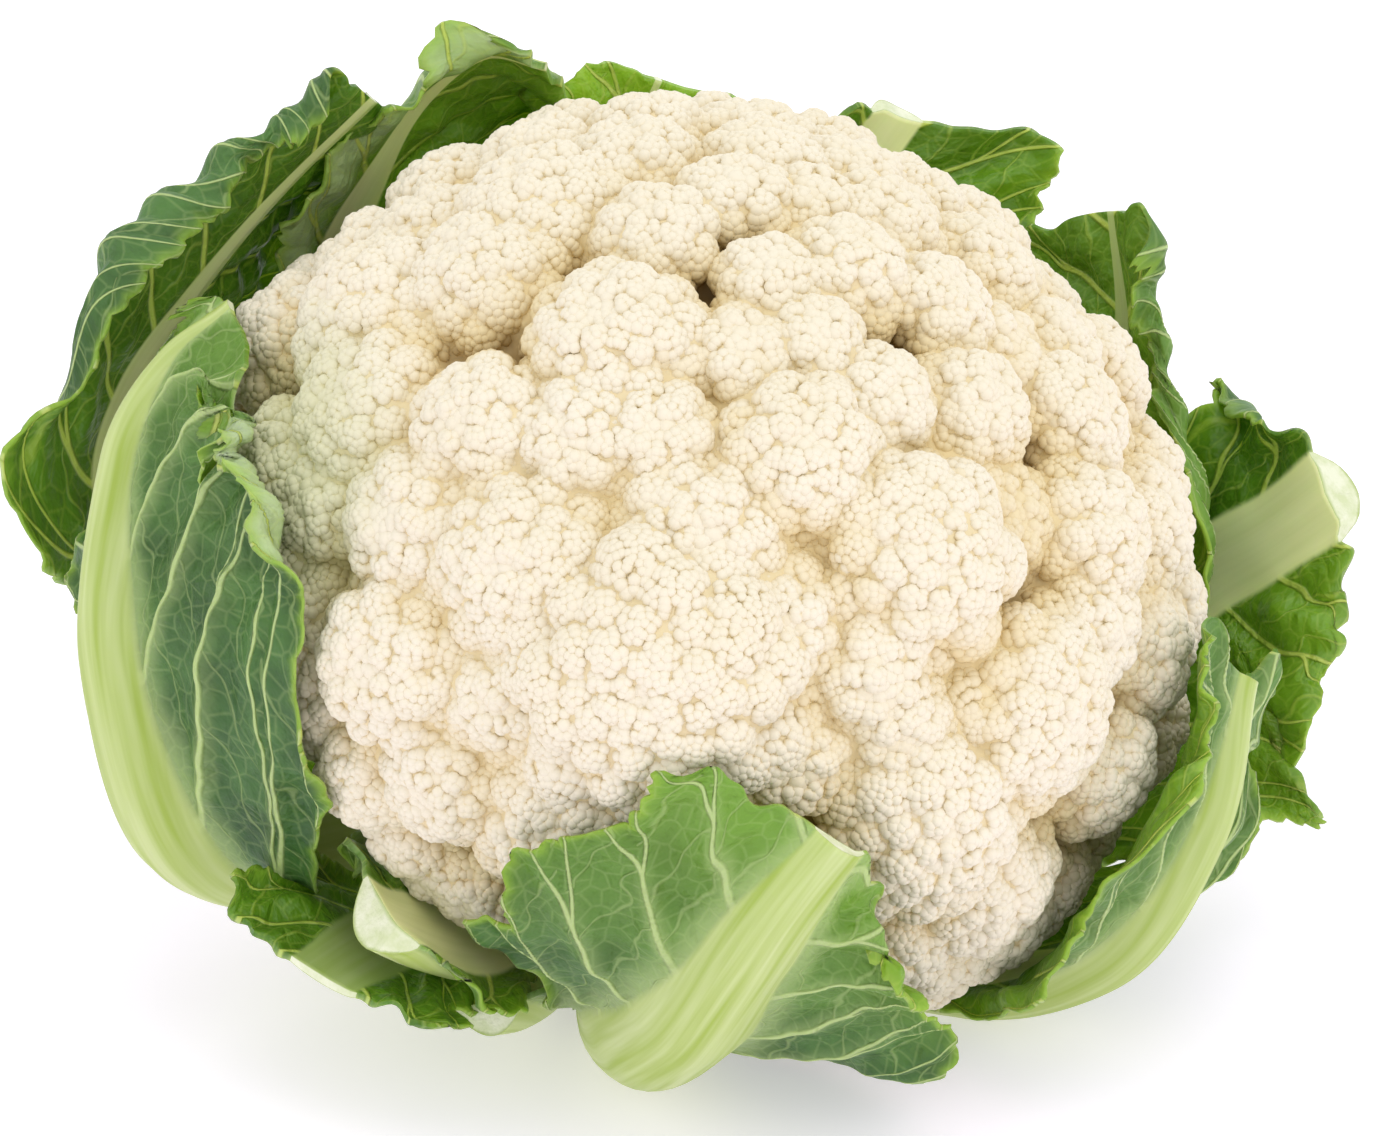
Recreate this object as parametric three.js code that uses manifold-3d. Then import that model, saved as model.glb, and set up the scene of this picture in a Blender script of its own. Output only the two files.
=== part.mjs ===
// A trimmed cauliflower head, in millimetres, +Z up, resting on the cut of its stem and on two leaves.
// The head is modelled upright round its own axis and then leans as one group. A place on the head is
// [azimuth, radius, height]: degrees round the axis, mm out from it, mm up from the middle of the cut.

import * as THREE from "three";
import { mergeVertices } from "three/addons/utils/BufferGeometryUtils.js";
import Module from "manifold-3d";

const wasm = await Module();
wasm.setup();

// Driving dimensions
const CURD_RADIUS = 92; // half the curd's width at its widest level
const CURD_CROWN = 82; // from the widest level up to the crown
const CURD_UNDERSIDE = 58; // from the widest level down to where the lowest florets would end
const WIDEST_HEIGHT = 90; // from the stem's cut, along the axis, up to the widest level
const CURD_FLOOR = 46; // height of the flat underside that sits on the stem
const CORE_SHARE = 0.84; // the curd's inner mass, as a share of its outer form
const HEAD_LEAN = 27.1; // how far the axis leans from upright, in degrees
const LEAN_AZIMUTH = -37; // the way it leans
const STEM_RADIUS = 24;
const STEM_SIDES = 32;
const GAP = 0.35; // between pieces that grow against each other
const BLADE = 1.2; // thickness of a leaf's blade

// How finely a leaf and a floret are divided
const LEAF_ROWS = 14;
const RIB_STATIONS = [0, 0.6, 1];
const BLADE_STATIONS = [1 / 3, 2 / 3, 1];
const SECTION_STEPS = 24;
const FLORET_DETAIL = 2;
const FILL_DETAIL = 1;
const CORE_DETAIL = 7;
const FACET_TOLERANCE = 0.5; // how far the joined florets may be evened out into fewer facets

// How leaves take their form
const ROLL_START = 0.6; // share of a half's width where its margin starts to roll
const RUFFLE_GROWTH = 1.5; // how late the ruffle swells on the way out to the margin
const STALK_TO_BLADE = [0.2, 0.5]; // share of the length where the bare stalk becomes full blade
const MARGIN_LOBES = 4.5;
const LOBE_DEPTH = 0.08;
const RIB_FULLNESS = 2; // higher makes the rib's back squarer
const CURD_SOFTNESS = 0.03; // share of the curd's reach over which a blade bends clear of it
const TABLE_SOFTNESS = 0.8; // height over which a blade bends clear of the table, in mm

// Florets of the front and the crown: [azimuth, angle from the axis, width]
const FRONT_FLORETS = [
  [217, 39, 36], [216, 58, 29], [228, 50, 26], [238, 44, 25], [187, 51, 33], [184, 67, 39],
  [200, 70, 36], [219, 72, 30], [207, 80, 24], [171, 45, 38], [152, 36, 29], [186, 28, 26],
  [159, 19, 24], [124, 24, 28], [221, 16, 21], [238, 28, 21], [255, 20, 20], [248, 5, 26],
  [282, 25, 22], [264, 36, 32], [316, 26, 24], [343, 12, 24], [38, 25, 26], [350, 36, 28],
  [334, 48, 30], [291, 46, 42], [285, 60, 24], [253, 51, 34], [234, 66, 38], [257, 69, 62],
  [270, 57, 26], [312, 65, 40], [228, 86, 36], [240, 94, 30], [256, 91, 44], [290, 66, 24],
  [298, 78, 44], [312, 90, 34], [277, 72, 26], [326, 58, 24], [302, 100, 34],
];
const FLORET_FLATTENING = 0.82; // depth of a floret against its width
const FLORET_SINK = 0.95; // how far down its own depth a floret's middle sits under the outer form
const FLORET_LUMPS = 13; // smaller heads on each floret
const LUMP_RELIEF = 0.13; // how far they stand out, as a share of the floret's radius

// Florets that fill the rest, on a spiral of even spacing round the axis
const FILL_COUNT = 96;
const FILL_WIDTH = 29;
const FILL_LOWEST_ANGLE = 106;
const FILL_CROWDING = 0.66; // a place closer to a named floret than this share of their widths is left out
const GOLDEN_ANGLE = 180 * (3 - Math.sqrt(5));
const SEED = 20;

// Each leaf follows its spine from the stem to its trimmed tip. Widths run from stem to tip, in mm.
// A half of the blade leaves the rib at the angle lean, turns by bend on its way out and by roll near
// the margin, in degrees, outward where positive. left and right are as seen from outside, tip up.
const LEAVES = [
  {
    name: "leaf_left",
    spine: [[206, 24, 28], [208, 46, 20], [211, 68, 20], [211, 89, 33], [205, 101, 51],
      [196, 106, 67], [187, 108, 82], [180, 105, 97], [178, 98, 109]],
    rib: { width: [8, 10, 11, 9, 6, 3.5], depth: [8, 9, 10, 8, 5, 2.5] },
    left: { width: [9, 12, 15, 20, 22, 20, 10], lean: -8, bend: -25, roll: 0 },
    right: { width: [9, 11, 12, 14, 26, 48, 54, 40, 36, 27, 10], lean: -12, bend: -42, roll: 16 },
    ruffle: 3, waves: 3.5, layer: 6,
  },
  {
    name: "leaf_upper_left",
    spine: [[168, 24, 16], [168, 56, 20], [170, 88, 34], [172, 106, 54], [169, 110, 70],
      [162, 107, 88], [153, 103, 108], [146, 100, 126]],
    rib: { width: [8, 9, 8, 6, 4, 3], depth: [8, 8, 7, 5, 3, 2] },
    left: { width: [9, 11, 20, 26, 24, 20, 12], lean: 4, bend: -20, roll: -40 },
    right: { width: [9, 11, 12, 25, 26, 9, 6], lean: 24, bend: 10, roll: -20 },
    ruffle: 4, waves: 4, layer: 12,
  },
  {
    name: "leaf_top_left",
    spine: [[146, 24, 35], [145, 60, 43], [143, 91, 64], [141, 99, 86], [138, 100, 104],
      [132, 99, 121], [124, 98, 133]],
    rib: { width: [8, 9, 9, 8, 6, 4], depth: [7, 8, 7, 5, 4, 3] },
    left: { width: [9, 11, 20, 28, 32, 28, 18], lean: -4, bend: -14, roll: -40 },
    right: { width: [9, 11, 14, 15, 13, 10, 8], lean: 0, bend: -10, roll: 0 },
    ruffle: 2.6, waves: 3, layer: 5,
  },
  {
    name: "leaf_top",
    spine: [[106, 24, 36], [107, 60, 46], [108, 89, 74], [107, 100, 102], [106, 104, 124]],
    rib: { width: [7, 7, 6, 4, 3], depth: [6, 6, 5, 3, 2] },
    left: { width: [8, 10, 16, 20, 22, 18], lean: -4, bend: -16, roll: 24 },
    right: { width: [8, 10, 14, 16, 15, 12], lean: -4, bend: -16, roll: 20 },
    ruffle: 3.4, waves: 4, layer: 9,
  },
  {
    name: "leaf_top_right",
    spine: [[78, 24, 22], [80, 60, 31], [81, 94, 58], [81, 107, 90], [81, 110, 114], [80, 113, 128]],
    rib: { width: [8, 9, 9, 8, 7], depth: [8, 8, 8, 7, 6] },
    left: { width: [9, 11, 24, 40, 38, 44], lean: 0, bend: -16, roll: 24 },
    right: { width: [9, 11, 12, 11, 10, 9], lean: 0, bend: -10, roll: 0 },
    ruffle: 4, waves: 3.5, layer: 12,
  },
  {
    name: "leaf_upper_right",
    spine: [[46, 24, 35], [44, 60, 46], [40, 88, 70], [40, 98, 96], [46, 103, 120], [55, 106, 139]],
    rib: { width: [7, 7, 6, 5, 4], depth: [6, 6, 5, 4, 3] },
    left: { width: [8, 9, 20, 28, 24, 20], lean: -4, bend: -18, roll: 26 },
    right: { width: [8, 9, 18, 22, 18, 12], lean: -4, bend: -14, roll: 40 },
    ruffle: 3.4, waves: 3.5, layer: 5,
  },
  {
    name: "leaf_right",
    spine: [[16, 24, 23], [19, 58, 35], [23, 92, 62], [24, 107, 92], [21, 112, 110], [18, 115, 128]],
    rib: { width: [8, 10, 10, 9, 9], depth: [8, 9, 9, 8, 8] },
    left: { width: [9, 11, 22, 44, 58, 48, 16], lean: 12, bend: -20, roll: 20 },
    right: { width: [9, 11, 18, 30, 34, 24], lean: 6, bend: -10, roll: -40 },
    ruffle: 4.5, waves: 3.5, layer: 12,
  },
  {
    name: "leaf_right_front",
    spine: [[330, 24, 25], [332, 48, 36], [332, 70, 45], [332, 87, 57], [333, 98, 73],
      [336, 101, 89], [342, 99, 104], [350, 95, 118]],
    rib: { width: [8, 9, 9, 8, 6, 4], depth: [8, 9, 9, 8, 6, 3] },
    left: { width: [9, 11, 17, 22, 20, 14], lean: -10, bend: -24, roll: 10 },
    right: { width: [9, 11, 34, 28, 26, 24], lean: 0, bend: -20, roll: 20 },
    ruffle: 2.6, waves: 3, layer: 5,
  },
  {
    name: "leaf_front",
    spine: [[292, 24, 22], [284, 46, 28], [280, 66, 37], [278, 84, 54], [277, 98, 80],
      [278, 101, 101], [281, 98, 117]],
    rib: { width: [8, 11, 13, 11, 9, 8], depth: [8, 10, 10, 8, 6, 4] },
    left: { width: [9, 12, 18, 38, 36, 26], lean: -8, bend: -26, roll: 16 },
    right: { width: [9, 14, 40, 48, 36, 16], lean: 5, bend: -14, roll: 12 },
    ruffle: 3, waves: 3.5, layer: 6,
  },
  {
    name: "leaf_low_left",
    spine: [[231, 24, 13], [236, 50, 24], [239, 68, 33], [240, 84, 39], [240, 97, 41]],
    rib: { width: [6, 8, 9, 10, 10], depth: [6, 6, 6, 5, 5] },
    left: { width: [7, 9, 12, 20, 15], lean: 8, bend: 14, roll: 10 },
    right: { width: [7, 9, 11, 14, 15], lean: -2, bend: 12, roll: 10 },
    ruffle: 2.4, waves: 2.5, layer: 8,
  },
  {
    name: "leaf_stub",
    spine: [[248, 24, 31], [251, 50, 35], [250, 67, 42], [246, 83, 52], [242, 91, 57]],
    rib: { width: [6, 8, 9, 9, 9], depth: [6, 6, 7, 8, 8] },
    left: { width: [7, 9, 12, 16, 13], lean: -6, bend: -20, roll: 30 },
    right: { width: [7, 9, 11, 12, 11], lean: 0, bend: -10, roll: 0 },
    ruffle: 1, waves: 1.5, layer: 3.5,
  },
  {
    name: "leaf_stub_low",
    spine: [[262, 24, 13], [263, 48, 21], [262, 64, 28], [259, 77, 34]],
    rib: { width: [5, 6, 7, 7], depth: [5, 5, 6, 7] },
    left: { width: [6, 7, 9, 9], lean: 0, bend: -10, roll: 0 },
    right: { width: [6, 7, 9, 11], lean: 0, bend: 10, roll: 30 },
    ruffle: 1.2, waves: 1.5, layer: 4,
  },
];

const CURD_COLOR = 0xf5ecd8;
const STEM_COLOR = 0xd9dfae;
const LEAF_COLOR = 0x5f8a3c;

const AXIS_UP = new THREE.Vector3(0, 0, 1);
const CURD_MIDDLE = new THREE.Vector3(0, 0, WIDEST_HEIGHT);

const head = new THREE.Group();
const leanWay = THREE.MathUtils.degToRad(LEAN_AZIMUTH);
const leanAxis = new THREE.Vector3(-Math.sin(leanWay), Math.cos(leanWay), 0);
head.quaternion.setFromAxisAngle(leanAxis, THREE.MathUtils.degToRad(HEAD_LEAN));
const TABLE_UP = AXIS_UP.clone().applyQuaternion(head.quaternion.clone().invert());

// A small seeded generator, so that every run gives the same head.
function seededRandom(seed) {
  let state = seed;
  return () => {
    state = (state * 1664525 + 1013904223) % 4294967296;
    return state / 4294967296;
  };
}

function onHead([azimuth, radius, height]) {
  const angle = THREE.MathUtils.degToRad(azimuth);
  return new THREE.Vector3(radius * Math.cos(angle), radius * Math.sin(angle), height);
}

function material(color, roughness) {
  return new THREE.MeshStandardMaterial({ color, roughness, metalness: 0 });
}

function solidFrom(geometry) {
  const plain = geometry.clone();
  plain.deleteAttribute("normal");
  plain.deleteAttribute("uv");
  const merged = mergeVertices(plain, 1e-4);
  return new wasm.Manifold(
    new wasm.Mesh({
      numProp: 3,
      vertProperties: new Float32Array(merged.attributes.position.array),
      triVerts: new Uint32Array(merged.index.array),
    }),
  );
}

function geometryFrom(solid) {
  const mesh = solid.getMesh();
  const geometry = new THREE.BufferGeometry();
  geometry.setAttribute("position", new THREE.BufferAttribute(mesh.vertProperties, 3));
  geometry.setIndex(new THREE.BufferAttribute(mesh.triVerts, 1));
  geometry.computeVertexNormals();
  return geometry;
}

// The curd's outer form is a low ellipsoid above its widest level and a flatter one below.
function curdReach(direction) {
  const across = Math.hypot(direction.x, direction.y) / CURD_RADIUS;
  const level = direction.z / (direction.z > 0 ? CURD_CROWN : CURD_UNDERSIDE);
  return 1 / Math.hypot(across, level);
}

function curdDirection(azimuth, fromAxis) {
  const polar = THREE.MathUtils.degToRad(fromAxis);
  return onHead([azimuth, Math.sin(polar), Math.cos(polar)]);
}

function evenDirections(count, random) {
  const turn = random() * 360;
  return Array.from({ length: count }, (_, i) => {
    const level = 1 - (2 * i + 1) / count;
    const angle = THREE.MathUtils.degToRad(turn + i * GOLDEN_ANGLE);
    const across = Math.sqrt(1 - level * level);
    return new THREE.Vector3(across * Math.cos(angle), across * Math.sin(angle), level);
  });
}

// One floret: a flattened ball with smaller round heads standing out of it.
function floretSolid([azimuth, fromAxis, width], detail, random) {
  const outward = curdDirection(azimuth, fromAxis);
  const radius = width / 2;
  const lumps = evenDirections(FLORET_LUMPS, random);
  const lumpSpread = Math.sqrt(4 / FLORET_LUMPS);
  const ball = new THREE.IcosahedronGeometry(1, detail);
  const points = ball.attributes.position;
  const turn = new THREE.Quaternion().setFromUnitVectors(AXIS_UP, outward);
  const depth = radius * FLORET_FLATTENING;
  const middle = outward.clone().multiplyScalar(curdReach(outward) - depth * FLORET_SINK).add(CURD_MIDDLE);
  const point = new THREE.Vector3();
  for (let i = 0; i < points.count; i += 1) {
    point.fromBufferAttribute(points, i).normalize();
    const nearest = Math.min(...lumps.map((lump) => lump.angleTo(point)));
    const rise = LUMP_RELIEF * Math.sqrt(Math.max(0, 1 - (nearest / lumpSpread) ** 2));
    point.multiplyScalar(radius * (1 + rise));
    point.z *= FLORET_FLATTENING;
    point.applyQuaternion(turn).add(middle);
    points.setXYZ(i, point.x, point.y, point.z);
  }
  return solidFrom(ball);
}

function fillFlorets() {
  const places = [];
  const lowest = Math.cos(THREE.MathUtils.degToRad(FILL_LOWEST_ANGLE));
  for (let i = 0; i < FILL_COUNT; i += 1) {
    const level = 1 - (1 - lowest) * ((i + 0.5) / FILL_COUNT);
    const fromAxis = THREE.MathUtils.radToDeg(Math.acos(level));
    const azimuth = (i * GOLDEN_ANGLE) % 360;
    const here = curdDirection(azimuth, fromAxis);
    const taken = FRONT_FLORETS.some(([otherAzimuth, otherAngle, width]) => {
      const apart = here.angleTo(curdDirection(otherAzimuth, otherAngle)) * curdReach(here);
      return apart < (FILL_CROWDING * (width + FILL_WIDTH)) / 2;
    });
    if (!taken) places.push([azimuth, fromAxis, FILL_WIDTH]);
  }
  return places;
}

function curdGeometry() {
  const random = seededRandom(SEED);
  const core = new THREE.IcosahedronGeometry(1, CORE_DETAIL);
  const points = core.attributes.position;
  const point = new THREE.Vector3();
  for (let i = 0; i < points.count; i += 1) {
    point.fromBufferAttribute(points, i).normalize();
    point.multiplyScalar(curdReach(point) * CORE_SHARE).add(CURD_MIDDLE);
    points.setXYZ(i, point.x, point.y, point.z);
  }
  let curd = solidFrom(core);
  for (const floret of FRONT_FLORETS) curd = curd.add(floretSolid(floret, FLORET_DETAIL, random));
  for (const floret of fillFlorets()) curd = curd.add(floretSolid(floret, FILL_DETAIL, random));
  const below = new THREE.BoxGeometry(4 * CURD_RADIUS, 4 * CURD_RADIUS, 2 * CURD_FLOOR);
  const bodies = curd.subtract(solidFrom(below)).asOriginal().simplify(FACET_TOLERANCE).decompose();
  return geometryFrom(bodies.reduce((largest, body) => (body.volume() > largest.volume() ? body : largest)));
}

// The stem is cut level with the table, so the cut is oblique to the leaning head.
function stemGeometry() {
  const top = CURD_FLOOR - GAP;
  const length = top + 2 * STEM_RADIUS;
  const stem = new THREE.CylinderGeometry(STEM_RADIUS, STEM_RADIUS, length, STEM_SIDES);
  stem.rotateX(Math.PI / 2);
  stem.translate(0, 0, top - length / 2);
  const below = new THREE.BoxGeometry(8 * STEM_RADIUS, 8 * STEM_RADIUS, 4 * STEM_RADIUS);
  below.translate(0, 0, -2 * STEM_RADIUS);
  below.applyQuaternion(head.quaternion.clone().invert());
  return geometryFrom(solidFrom(stem).subtract(solidFrom(below)));
}

// Value of an evenly spaced list at the share u of its length, eased between neighbours.
function along(values, u) {
  const place = u * (values.length - 1);
  const before = Math.min(Math.floor(place), values.length - 2);
  const share = THREE.MathUtils.smoothstep(place - before, 0, 1);
  return THREE.MathUtils.lerp(values[before], values[before + 1], share);
}

// Bends a value that comes near a limit so that it stays above it.
function keepAbove(value, limit, softness) {
  const excess = (value - limit) / softness;
  return excess > 30 ? value : limit + softness * Math.log1p(Math.exp(excess));
}

function clearOfCurd(point, clearance) {
  const away = point.clone().sub(CURD_MIDDLE);
  const reach = curdReach(away.clone().normalize());
  const share = away.length() / reach;
  const kept = keepAbove(share, 1 + clearance / CURD_RADIUS, CURD_SOFTNESS);
  return away.multiplyScalar(kept / share).add(CURD_MIDDLE);
}

function clearOfTable(point) {
  const height = point.dot(TABLE_UP);
  return point.addScaledVector(TABLE_UP, keepAbove(height, BLADE, TABLE_SOFTNESS) - height);
}

// How far one half of a blade reaches out from the rib. The margin is cut into shallow lobes.
function halfWidth(leaf, side, u) {
  const half = side > 0 ? leaf.right : leaf.left;
  const lobe = Math.sin(2 * Math.PI * MARGIN_LOBES * u + side);
  return along(half.width, u) * (1 + LOBE_DEPTH * lobe * bladeShare(u));
}

// Zero on the bare stalk of a leaf, rising to one where the blade is full.
function bladeShare(u) {
  return THREE.MathUtils.smoothstep(u, ...STALK_TO_BLADE);
}

// One point of a leaf's middle surface, at a share u of its length and a distance out from the rib.
function bladePoint(leaf, frame, side, u, distance) {
  const half = side > 0 ? leaf.right : leaf.left;
  const width = halfWidth(leaf, side, u);
  const step = distance / SECTION_STEPS;
  let out = 0;
  let up = 0;
  let angle = THREE.MathUtils.degToRad(half.lean);
  for (let i = 0; i < SECTION_STEPS; i += 1) {
    const share = ((i + 0.5) * step) / width;
    const roll = half.roll * THREE.MathUtils.smoothstep(share, ROLL_START, 1);
    angle = THREE.MathUtils.degToRad(half.lean + half.bend * share + roll);
    out += step * Math.cos(angle);
    up += step * Math.sin(angle);
  }
  const share = distance / width;
  const wave = Math.sin(2 * Math.PI * leaf.waves * u + side);
  const rise = leaf.ruffle * wave * share ** RUFFLE_GROWTH * bladeShare(u);
  out -= rise * Math.sin(angle);
  up += rise * Math.cos(angle);
  const point = frame.place.clone();
  point.addScaledVector(frame.side, side * out).addScaledVector(frame.out, up);
  return clearOfTable(clearOfCurd(point, leaf.layer));
}

function spineFrame(spine, u) {
  const place = spine.getPointAt(u);
  const tangent = spine.getTangentAt(u);
  const out = place.clone().sub(CURD_MIDDLE);
  out.addScaledVector(tangent, -out.dot(tangent)).normalize();
  return { place, out, side: tangent.clone().cross(out) };
}

function leafGeometry(leaf) {
  const spine = new THREE.CatmullRomCurve3(leaf.spine.map(onHead), false, "catmullrom", 0.5);
  const stations = [];
  for (const side of [-1, 1]) {
    const half = [
      ...RIB_STATIONS.map((share) => ({ side, rib: share, blade: 0 })),
      ...BLADE_STATIONS.map((share) => ({ side, rib: 1, blade: share })),
    ];
    stations.push(...(side < 0 ? half.reverse() : half.slice(1)));
  }
  const columns = stations.length;
  const middle = [];
  const ribRise = [];
  for (let row = 0; row <= LEAF_ROWS; row += 1) {
    const u = row / LEAF_ROWS;
    const frame = spineFrame(spine, u);
    const ribWidth = along(leaf.rib.width, u);
    for (const { side, rib, blade } of stations) {
      const distance = rib * ribWidth + blade * (halfWidth(leaf, side, u) - ribWidth);
      middle.push(bladePoint(leaf, frame, side, u, distance));
      ribRise.push(along(leaf.rib.depth, u) * (1 - rib ** RIB_FULLNESS));
    }
  }
  const at = (row, column) => middle[row * columns + column];
  const positions = [];
  for (const face of [1, -1]) {
    for (let row = 0; row <= LEAF_ROWS; row += 1) {
      for (let column = 0; column < columns; column += 1) {
        const lengthwise = at(Math.min(row + 1, LEAF_ROWS), column).clone();
        lengthwise.sub(at(Math.max(row - 1, 0), column));
        const crosswise = at(row, Math.min(column + 1, columns - 1)).clone();
        crosswise.sub(at(row, Math.max(column - 1, 0)));
        const normal = crosswise.cross(lengthwise).normalize();
        const offset = face > 0 ? BLADE / 2 + ribRise[row * columns + column] : -BLADE / 2;
        const point = at(row, column).clone().addScaledVector(normal, offset);
        if (row === 0) {
          const shrink = (STEM_RADIUS + GAP) / Math.hypot(point.x, point.y);
          point.x *= shrink;
          point.y *= shrink;
        }
        point.addScaledVector(TABLE_UP, Math.max(0, -point.dot(TABLE_UP)));
        positions.push(point.x, point.y, point.z);
      }
    }
  }
  const faceSize = (LEAF_ROWS + 1) * columns;
  const index = [];
  const quad = (a, b, c, d) => index.push(a, b, c, a, c, d);
  for (let row = 0; row < LEAF_ROWS; row += 1) {
    for (let column = 0; column + 1 < columns; column += 1) {
      const a = row * columns + column;
      quad(a, a + 1, a + columns + 1, a + columns);
      index.push(faceSize + a, faceSize + a + columns + 1, faceSize + a + 1);
      index.push(faceSize + a, faceSize + a + columns, faceSize + a + columns + 1);
    }
    const first = row * columns;
    const last = first + columns - 1;
    quad(first, first + columns, faceSize + first + columns, faceSize + first);
    quad(last + columns, last, faceSize + last, faceSize + last + columns);
  }
  for (let column = 0; column + 1 < columns; column += 1) {
    const end = LEAF_ROWS * columns + column;
    quad(column + 1, column, faceSize + column, faceSize + column + 1);
    quad(end, end + 1, faceSize + end + 1, faceSize + end);
  }
  const geometry = new THREE.BufferGeometry();
  geometry.setAttribute("position", new THREE.Float32BufferAttribute(positions, 3));
  geometry.setIndex(index);
  geometry.computeVertexNormals();
  return geometry;
}

function addPiece(name, geometry, finish) {
  const piece = new THREE.Mesh(geometry, finish);
  piece.name = name;
  head.add(piece);
}

addPiece("curd", curdGeometry(), material(CURD_COLOR, 0.7));
addPiece("stem", stemGeometry(), material(STEM_COLOR, 0.6));
for (const leaf of LEAVES) {
  addPiece(leaf.name, leafGeometry(leaf), material(LEAF_COLOR, 0.5));
}

const cauliflower = new THREE.Group();
cauliflower.add(head);

export default cauliflower;
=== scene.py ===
# %% [markdown]
# # A cauliflower head
#
# The head lies tilted on the cut of its stem: a domed cream curd in a ruff of trimmed green leaves.
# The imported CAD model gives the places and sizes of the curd, the stem and the twelve leaves. This
# lesson dresses each of them with a finer mesh and a procedural material, in the same frame.

# %% Load the frame
import math

import bpy
import numpy as np
from mathutils import Matrix, Vector


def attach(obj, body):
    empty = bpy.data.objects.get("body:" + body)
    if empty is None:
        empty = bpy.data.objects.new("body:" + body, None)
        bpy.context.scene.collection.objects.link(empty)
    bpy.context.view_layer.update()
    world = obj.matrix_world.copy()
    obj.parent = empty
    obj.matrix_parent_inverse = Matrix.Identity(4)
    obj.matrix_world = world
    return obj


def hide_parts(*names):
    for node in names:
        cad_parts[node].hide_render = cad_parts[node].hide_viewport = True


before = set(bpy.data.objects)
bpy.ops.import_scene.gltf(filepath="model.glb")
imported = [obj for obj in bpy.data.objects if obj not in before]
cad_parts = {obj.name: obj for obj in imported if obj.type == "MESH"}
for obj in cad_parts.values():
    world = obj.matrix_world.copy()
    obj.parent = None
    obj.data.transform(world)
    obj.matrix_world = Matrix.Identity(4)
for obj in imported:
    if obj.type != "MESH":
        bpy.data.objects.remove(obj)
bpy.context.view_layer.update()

MM = 0.001

# %% [markdown]
# ## The leaning head
#
# Everything on the head is placed as on the upright plant: degrees round its axis, millimetres out
# from the axis, millimetres up from the cut of the stem. One rotation then leans the whole head, so
# that no piece has to know how the head lies on the table.

# %% Places on the head
HEAD_LEAN = math.radians(27.1)
LEAN_AZIMUTH = math.radians(-37)
CURD_RADIUS = 92.0
CURD_CROWN = 82.0
CURD_UNDERSIDE = 58.0
WIDEST_HEIGHT = 90.0
CURD_MIDDLE = np.array([0.0, 0.0, WIDEST_HEIGHT])
GOLDEN_ANGLE = math.radians(180 * (3 - math.sqrt(5)))
lean_axis = Vector((-math.sin(LEAN_AZIMUTH), math.cos(LEAN_AZIMUTH), 0))
LEAN = np.array(Matrix.Rotation(HEAD_LEAN, 3, lean_axis))
TABLE_UP = LEAN.T @ np.array([0.0, 0.0, 1.0])


def in_frame(points):
    """Millimetres on the upright head to metres in the shared frame."""
    return points @ LEAN.T * MM


def on_head(azimuth, radius, height):
    angle = np.radians(azimuth)
    return np.stack([radius * np.cos(angle), radius * np.sin(angle), height + 0 * angle], axis=-1)


def unit(vectors):
    return vectors / np.linalg.norm(vectors, axis=-1, keepdims=True)


def smoothstep(value, low, high):
    share = np.clip((value - low) / (high - low), 0, 1)
    return share * share * (3 - 2 * share)


def curd_reach(directions):
    """How far the curd's outer form reaches from its middle, in mm."""
    across = np.hypot(directions[..., 0], directions[..., 1]) / CURD_RADIUS
    level = directions[..., 2] / np.where(directions[..., 2] > 0, CURD_CROWN, CURD_UNDERSIDE)
    return 1 / np.hypot(across, level)


curd_world = in_frame(CURD_MIDDLE)
print("middle of the curd in mm:", (curd_world / MM).round(1))

# %% [markdown]
# ## Camera
#
# The photograph looks down at about 22 degrees through a long lens. A long lens far away keeps the
# near leaves from swelling. The camera is moved sideways in its own plane until the middle of the
# curd falls on the pixel where the photograph has it, so no lens shift is needed.

# %% Camera
PHOTO_WIDTH, PHOTO_HEIGHT = 1385, 1136
CURD_PIXEL = (705, 570)
MM_PER_PIXEL = 0.184
CAMERA_DISTANCE = 1000.0
CAMERA_ELEVATION = math.radians(22)
SENSOR_WIDTH = 36.0

toward_camera = np.array([0, -math.cos(CAMERA_ELEVATION), math.sin(CAMERA_ELEVATION)])
picture_up = np.array([0, math.sin(CAMERA_ELEVATION), math.cos(CAMERA_ELEVATION)])
pixels_right = CURD_PIXEL[0] - PHOTO_WIDTH / 2
pixels_down = CURD_PIXEL[1] - PHOTO_HEIGHT / 2
camera_place = curd_world / MM + CAMERA_DISTANCE * toward_camera
camera_place += MM_PER_PIXEL * (pixels_down * picture_up - np.array([pixels_right, 0, 0]))

camera_data = bpy.data.cameras.new("camera")
camera_data.sensor_fit = "HORIZONTAL"
camera_data.sensor_width = SENSOR_WIDTH
camera_data.lens = SENSOR_WIDTH * CAMERA_DISTANCE / (MM_PER_PIXEL * PHOTO_WIDTH)
camera = bpy.data.objects.new("camera", camera_data)
camera.location = camera_place * MM
camera.rotation_euler = (math.pi / 2 - CAMERA_ELEVATION, 0, 0)
bpy.context.collection.objects.link(camera)
bpy.context.scene.camera = camera
print("camera in mm:", camera_place.round(1), "lens", round(camera_data.lens, 1), "mm")

# %% [markdown]
# ## Nodes and colours
#
# Colours are picked as sRGB hex values, as a paint program shows them, and shaders work in linear
# light, so one function converts them. One more adds a node, sets it and links its inputs. It serves
# both shader trees and geometry trees.


# %% Helpers for nodes and meshes
def linear(hex_colour):
    channels = [int(hex_colour[i:i + 2], 16) / 255 for i in (1, 3, 5)]
    return (*[c / 12.92 if c <= 0.04045 else ((c + 0.055) / 1.055) ** 2.4 for c in channels], 1.0)


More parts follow.
